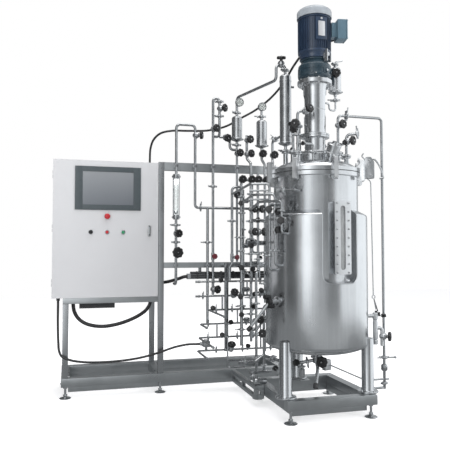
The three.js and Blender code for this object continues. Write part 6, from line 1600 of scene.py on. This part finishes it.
drains.rod((1420, -300, 615), (1420, -336, 640), 8.5, 20)
drains.tube([(1534, -741, 322), (1440, -700, 300), (1385, -560, 290), (1345, -350, 290)], 11, 30)
drains.tube([(1470, -712, 306), (1470, -712, 200), (1400, -640, 200), (1400, -360, 200)], 8, 20)
drains.turned([(0, -30), (14, -30), (18, -24), (18, 24), (14, 30), (0, 30)], (1470, -712, 240), steps=28)
clamps += [((1500, -727, 313), (-0.92, 0.4, -0.2), 24), ((1412, -640, 295), (-0.37, 0.92, 0), 24),
    ((1470, -712, 280), UP, 20), ((1400, -500, 200), (0, 1, 0), 20),
    ((1365, -460, 290), (-0.3, 0.95, 0), 24)]
small_knobs += [((1440, -700, 300), (-0.5, -0.8, 0.3), 0.8), ((1400, -430, 200), (-0.4, -0.5, 0.75), 0.7),
    ((1420, -322, 628), (-0.3, -0.95, 0), 1.1)]
drains.settle("drain_tubes", [pipe_bright], "drain_lines", "pipe_steel")

cooler = Made()
housing(cooler, (1424.2, -560.1, 1718.9), 505)
cooler.rod((1424.2, -560.1, 1689), (1424.2, -560.1, 1722), 10, 20)
cooler.tube([(1424.2, -560.1, 2224), (1424.2, -560.1, 2286), (1358.2, -560.1, 2286), (1358.2, -560.1, 2180),
    (1230, -60, 2180), (1230, -60, 2054.3)], 10)
for z in (1790, 2170):
    cooler.turned([(38, 0), (40.5, 0.5), (41, 2), (41, 8), (40.5, 9.5), (38, 10), (38, 0)],
        (1424.2, -560.1, z), steps=56)
cooler.rod((1462, -560.1, 1822), (1486, -560.1, 1822), 8, 20)
cooler.rod((1462, -560.1, 2140), (1486, -560.1, 2140), 8, 20)
dial_gauge(cooler, (1244, -78, 2140), (1230, -60, 2120))
clamps += [((1424.2, -560.1, 1697.9), UP, 27), ((1424.2, -560.1, 2251.9), UP, 25),
    ((1230, -60, 2064.3), UP, 25)]
valves += [((1394.2, -560.1, 2286), (-0.1, -0.35, 0.93), 1)]
cooler.settle("condenser_and_pipe", [satin], "exhaust_condenser", "pipe_steel")

pot = Made()
pot.slab((1671, -722, 2089.2), (1727, -710, 2123.2), 1.5)
pot.slab((1650, -720, 2093), (1673, -711, 2119), 1.5)
housing(pot, (1727, -700, 2054.2), 200, 38)
pot.tube([(1727, -700, 2055), (1727, -700, 1958), (1672, -718, 1958), (1672, -718, 1999),
    (1641, -728, 1999)], 6, 18)
pot.tube([(1727, -700, 2254), (1727, -700, 2290), (1779, -700, 2304)], 6, 14)
clamps += [((1727, -700, 2030.2), UP, 24), ((1727, -700, 2274.2), UP, 22)]
valves += [((1727, -700, 2204.2), (-0.29, -0.96, 0), 1)]
pot.settle("seal_liquid_pot", [polished], "seal_pot", "pipe_steel")

falling = Made()
falling.tube([(1736.2, -716, 1664), (1736.2, -716, 1925), (2062, -716, 1925), (2062, -716, 165)], 9)
falling.turned([(9, 219), (15, 221), (20, 226), (21.5, 232), (21.5, 254), (20, 260), (15, 265), (9, 267),
    (9, 219)], (2062, -716, 0), steps=40)
falling.rod((2062, -716, 310), (2148, -716, 306), 5.5, 16)
falling.turned([(0, 0), (7, 0), (9, 3), (9, 9), (7, 12), (0, 12)], (2140, -716, 306.4), AXIS_X, 20)
falling.rod((1982, -716, 166), (2096, -716, 166), 6.5, 16)
falling.rod((2062, -716, 170), (2062, -716, 102), 9, 20)
falling.rod((2066, -716, 110), (1855, -716, 110), 8, 20)
falling.slab((1853.7, -740, 86), (1859.4, -692, 134), 1.2)
for dy in (-17, 17):
    for z in (93, 127):
        falling.turned([(0, 0), (4.4, 0), (4.4, 2.6), (3.6, 3.4), (0, 3.4)], (1859.4, -716 + dy, z), AXIS_X,
            6)
clamps += [((1736.2, -716, 1671.9), UP, 25), ((1798.2, -716, 1925), AXIS_X, 25), ((2062, -716, 310), UP, 25),
    ((2062, -716, 140), UP, 22)]
valves += [((1736.2, -716, 1860), (0.29, -0.96, 0), 1)]
falling.settle("drop_tube", [pipe_bright], "drop_line", "pipe_steel")

spray = Made().tube([(1408.4, -730.5, 1659), (1408.4, -730.5, 1848), (1498, -670.5, 1848),
    (1498, -330, 1848), (1482, -300, 1848), (1482, -210.3, 1848)], 9)
clamps += [((1408.4, -730.5, 1666.9), UP, 25), ((1482, -218.3, 1848), (0, 1, 0), 21)]
valves += [((1408.4, -730.5, 1808), (-0.24, -0.97, 0), 1)]
spray.settle("spray_tube", [pipe_bright], "spray_line", "pipe_steel")
charge = Made().tube([(1392.6, -844.3, 1634), (1392.6, -844.3, 1903), (1466.6, -844.3, 1903)], 9)
clamps += [((1392.6, -844.3, 1641.9), UP, 25), ((1392.6, -844.3, 1752), UP, 23)]
valves += [((1392.6, -844.3, 1815), (-0.67, -0.74, 0), 1), ((1442.6, -844.3, 1903), (0.28, -0.92, 0.28), 1)]
charge.settle("charge_tube", [pipe_bright], "charge_line", "pipe_steel")
seed = Made().tube([(1756, -794.1, 1634), (1756, -794.1, 1782), (1818, -844.1, 1782)], 9)
clamps += [((1756, -794.1, 1641.9), UP, 25), ((1811.8, -839, 1782), (0.78, -0.63, 0), 25)]
valves += [((1756, -794.1, 1738), (0.57, -0.82, 0), 1)]
seed.settle("inoculum_tube", [pipe_bright], "inoculum_line", "pipe_steel")

hanger = Made()
hanger.tube([(1906, -790, 1500), (1930, -796, 1480), (1930, -796, 1275), (1937, -800, 735)], 3.6, 30, 12)
hanger.turned([(8, -2.5), (13, -2.5), (13, 2.5), (8, 2.5), (8, -2.5)], (1939, -800, 722), FRONT, 28)
hanger.rod((1941, -800, 711), (1955, -800, 640), 3.2, 12)
hanger.rod((1620, -778, 300), (1815, -888, 214), 4.5, 14)
way = (math.cos(math.radians(199)), math.sin(math.radians(199)), 0)
hanger.turned([(0, 0), (26, 0), (30, 2), (30, 9), (26, 11), (15, 12), (15, 46), (21, 48), (21, 66), (0, 68)],
    around(324, 199, 715), way, 40)
hanger.rod(around(376, 199, 722), (1066, -855, 553), 9, 24)
hanger.finish = 1
hanger.rod((1080, -855.3, 566), (1056, -854.8, 544), 14, 24)
hanger.rod(around(376, 199, 715), around(398, 199, 715), 22, 32)
for dx, z in ((-52, 745), (-30, 690)):
    hanger.rod((1212 + dx, -868, z), (1254 + dx, -848, z - 4), 15, 28)
hanger.rod((1941, -800, 708), (1968, -802, 628), 3.4, 12)
for x, z in ((1955, 632), (1975, 622)):
    hanger.rod((x, -800, z), (x + 3, -800, z - 26), 9, 20, 7)
hanger.settle("side_hanger_and_stay", [satin, black_moulding])

# The bottom outlet: a welded tank valve with a cast aluminium body, and its drain spout.
outlet = Made()
outlet.turned([(0, 349.6), (24, 349.6), (37, 348.5), (38, 347), (38, 341), (37, 339), (26, 337), (24, 333),
    (24, 308), (20, 303.7), (0, 303.7)], V(0, 0), steps=48)
outlet.rod((1558, -741, 325.7), (1590, -801, 325.7), 21, 32)
outlet.tube([(1558, -741, 316), (1548, -781, 276), (1514, -825, 178)], 11, 24)
outlet.finish = 1
outlet.rod((1518, -819, 192), (1508, -833, 166), 16.5, 32)
outlet.finish = 2
outlet.slab((1586, -792, 262), (1640, -760, 330), 8, 20, (1610, -776))
valves += [((1589, -799, 325.7), (-0.75, -0.66, 0), 0)]
cast_aluminium = brushed_steel("cast_aluminium", (0.66, 0.67, 0.68), 0.42, (300, 300, 300), 0.35, 30.0)
outlet.settle("outlet_valve_and_spout", [satin, gland_grey, cast_aluminium], "outlet_valve", "valve_body")

sample = Made()
sample.turned([(0, 16), (30, 16), (30, 19), (29, 21), (20, 22), (15, 26), (13, 32), (13, 82), (0, 82)],
    Vector(around(315, 352, 600)) - Vector((math.cos(math.radians(352)), math.sin(math.radians(352)),
    0)) * 0.5, (math.cos(math.radians(352)), math.sin(math.radians(352)), 0), 40)
sample.turned([(0, 414), (13, 414), (16, 418), (16, 440), (13, 443), (13, 447), (16, 450), (16, 560),
    (14, 566), (14, 576), (17, 580), (17, 616), (14, 620), (0, 620)], (1951.1, -796.2, 0), steps=40)
sample.rod((1951.1, -796.2, 600), (2024.4, -806.5, 600), 5, 16)
sample.tube([(1951.1, -796.2, 520), (1996.7, -802.6, 520), (1996.7, -802.6, 404)], 12, 20)
valves += [((1996.7, -802.6, 466), (0.8, -0.6, 0), 1)]
sample.settle("sample_valve_body", [cast_aluminium], "sample_valve", "valve_body")
grip = Made()
way = Vector((0.99, -0.14, 0))
grip.turned([(5.3, 0), (11, 0), (12, 1.2), (12, 25), (11, 26), (5.3, 26), (5.3, 0)], (1994.7, -802.4, 600),
    way, 32)
for tip, root in (((2003.8, -838, 600), (2007, -815, 600)), ((2013.3, -770.6, 600), (2010, -794, 600))):
    grip.rod(root, tip, 6.5, 20, 5.5)
grip.settle("sample_tee_handle", [black_moulding], "sample_handle", "black_plastic", body="sample_handle")

# ---- Valves, clamps and dials -------------------------------------------------------------------
# Sanitary clamps with wing nuts, membrane valves with cast bonnets and scalloped black handwheels.
# Dials have white enamel faces behind glass, with black ticks and a thin pointer.
band = Made()
band.turned([(9, -9), (17, -9), (18, -7.5), (22, -6), (24.5, -4.5), (25, -3), (25, 3), (24.5, 4.5), (22, 6),
    (18, 7.5), (17, 9), (9, 9), (9, -9)], (0, 0, 0), steps=36)
for side in (-1, 1):
    band.slab((22, 3 * side - 2, -6.5), (33, 3 * side + 2, 6.5), 1)
    band.slab((-36, 5 * side - 3, -6.5), (-22, 5 * side + 3, 6.5), 1.5)
band.rod((28.5, -7, 0), (28.5, 7, 0), 2.6, 12)
band.rod((-30.5, -20, 0), (-30.5, 12, 0), 2.8, 12)
band.turned([(3, 0), (6.2, 0), (6, 8), (4.6, 10), (3, 10), (3, 0)], (-30.5, -9, 0), FRONT, 20)
for side in (-1, 1):
    band.prism(rounded([(0, -2.6), (20, -5), (22, 5), (0, 3.4)], [0, 3.4, 3.4, 0]),
        (-30.5 + 3 * side, -12 if side > 0 else -16, 0), (side * 0.97, -0.24, 0), UP, 3.6 * side, 0.8)
band = item(band, "clamp_band", satin)
settle(set_out("sanitary_clamps", band, satin, [(p, way, size / 25) for p, way, size in clamps], 0.5, 3),
    "skid")
drop(band)


def hand_wheel(made, at, stem, radius=31, bore=0.0):
    inner = [(bore, 34), (11, 34)] if bore else [(0, 34), (11, 34)]
    made.turned([*inner, (12, 36.5), (0.84 * radius, 37.5), (0.95 * radius, 40), (radius, 44), (radius, 50),
        (0.94 * radius, 55), (0.8 * radius, 58), (0.5 * radius, 58), (0.44 * radius, 56), (0.3 * radius, 56),
        (max(9, bore + 2), 57.6), (bore, 57.6)] + ([(bore, 34)] if bore else []), at, stem, 64, 8, 0.12)
    return made


bonnet = Made()
bonnet.turned([(0, -19), (9, -18), (15, -13), (18, -5), (18.5, 4), (23, 6), (24.5, 7), (24.5, 12.6),
    (23.5, 14), (21, 14.5), (20, 21), (17, 26), (11.5, 28.5), (10, 31), (10, 33.6), (4.5, 33.6), (4.5, 60),
    (3.6, 61.5), (0, 61.5)], (0, 0, 0), steps=36)
for k in range(4):
    a = math.radians(45 + 90 * k)
    bonnet.turned([(0, 13), (3.4, 13), (3.4, 18), (2.6, 19), (0, 19)],
        (20.5 * math.cos(a), 20.5 * math.sin(a), 0), steps=6)
bonnet = item(bonnet, "bonnet", satin)
settle(set_out("valve_bonnets", bonnet, satin, [(p, way, 1.0) for p, way, fixed in valves], 0.0, 5), "skid")
drop(bonnet)
red_moulding = moulded("dark_red_moulding", (0.15, 0.018, 0.028), 0.34, 300, 0.05)
red_knobs = [((1044, -88, 982), FRONT, 0.72), ((1178, -176, 976), (0.4, -0.91, 0), 0.68)]
small_bonnet = Made()
small_bonnet.turned([(0, -15), (10, -14), (14, -8), (14.5, 3), (20, 5), (20.5, 9), (16, 12), (14, 20),
    (9, 22), (9, 30), (0, 30)], (0, 0, 0), steps=28)
small_bonnet = item(small_bonnet, "small_bonnet", satin)
small_knob = Made().turned([(0, 26), (10, 26), (12, 30), (26, 32), (29, 36), (29, 46), (26, 50), (14, 52),
    (0, 51)], (0, 0, 0), UP, 48, 6, 0.1)
small_knob = item(small_knob, "small_knob", black_moulding)
knob = item(hand_wheel(Made(), (0, 0, 0), UP), "knob", black_moulding)
settle(set_out("fixed_handwheels", knob, black_moulding, [(p, way, 1.0) for p, way, fixed in valves
    if fixed], 0.6, 11), "skid")
drop(knob)
for points, name, finish in ((small_knobs, "small_valve", None), (red_knobs, "red_valve", red_moulding)):
    for part, made, paint in (("bonnets", small_bonnet, satin), ("knobs", small_knob,
        finish or black_moulding)):
        settle(set_out(name + "_" + part, made, paint, points, 0.5, 17), "skid")
drop(small_bonnet, small_knob)
for name, node, at, stem, radius in (("air_wheel_1", "air_valve_wheel_1", (767, -60, 1010), (0.12, -0.99, 0),
    42), ("air_wheel_2", "air_valve_wheel_2", (767, -60, 1148), (0.27, -0.96, 0), 31),
    ("riser_wheel", "riser_valve_wheel", (1094, -60, 2088), (0.7, -0.71, 0), 31),
    ("manifold_knob", "manifold_wheel", (1420, -150, 1545), (0, -1, 0), 31),
    ("outlet_wheel", "outlet_valve_wheel", (1589, -799, 325.7), (-0.75, -0.66, 0), 38),):
    settle(hand_wheel(Made(), at, stem, radius, 6.3).object(node + "_grip", [black_moulding]), name, node)

enamel_white = hazed("dial_enamel", 0.3, (0.70, 0.70, 0.68), (0.80, 0.80, 0.78), 30.0)
faces, marks, lenses = Made(), Made(), Made()
for (x, y, z), radius in dials:
    inner = radius - 3.8
    faces.turned([(0, 9.7), (inner, 9.7), (inner, 10.2), (0, 10.3)], (x, y, z), FRONT, 48)
    lenses.turned([(0, 11.2), (inner, 11.2), (inner, 11.9), (0, 12.1)], (x, y, z), FRONT, 48)
    for k in range(21):
        a = math.radians(225 - 13.5 * k)
        long = 5 if k % 5 == 0 else 3
        out = Vector((math.cos(a), 0, math.sin(a)))
        marks.rod(Vector((x, y - 10.4, z)) + out * (inner - 2 - long), Vector((x, y - 10.4,
            z)) + out * (inner - 2), 0.45, 6, soft=0.1)
    a = math.radians(150)
    out = Vector((math.cos(a), 0, math.sin(a)))
    marks.rod(Vector((x, y - 10.9, z)) - out * 6, Vector((x, y - 10.9, z)) + out * (inner - 6), 0.8, 8, 0.3,
        0.1)
    marks.turned([(0, 10.2), (2.6, 10.2), (2.6, 11.1), (0, 11.1)], (x, y, z), FRONT, 20)
settle(merged("dial_faces", faces.object("faces", [enamel_white]), marks.object("marks", [black_moulding])),
    "skid")
lenses.settle("dial_lenses", [glass])
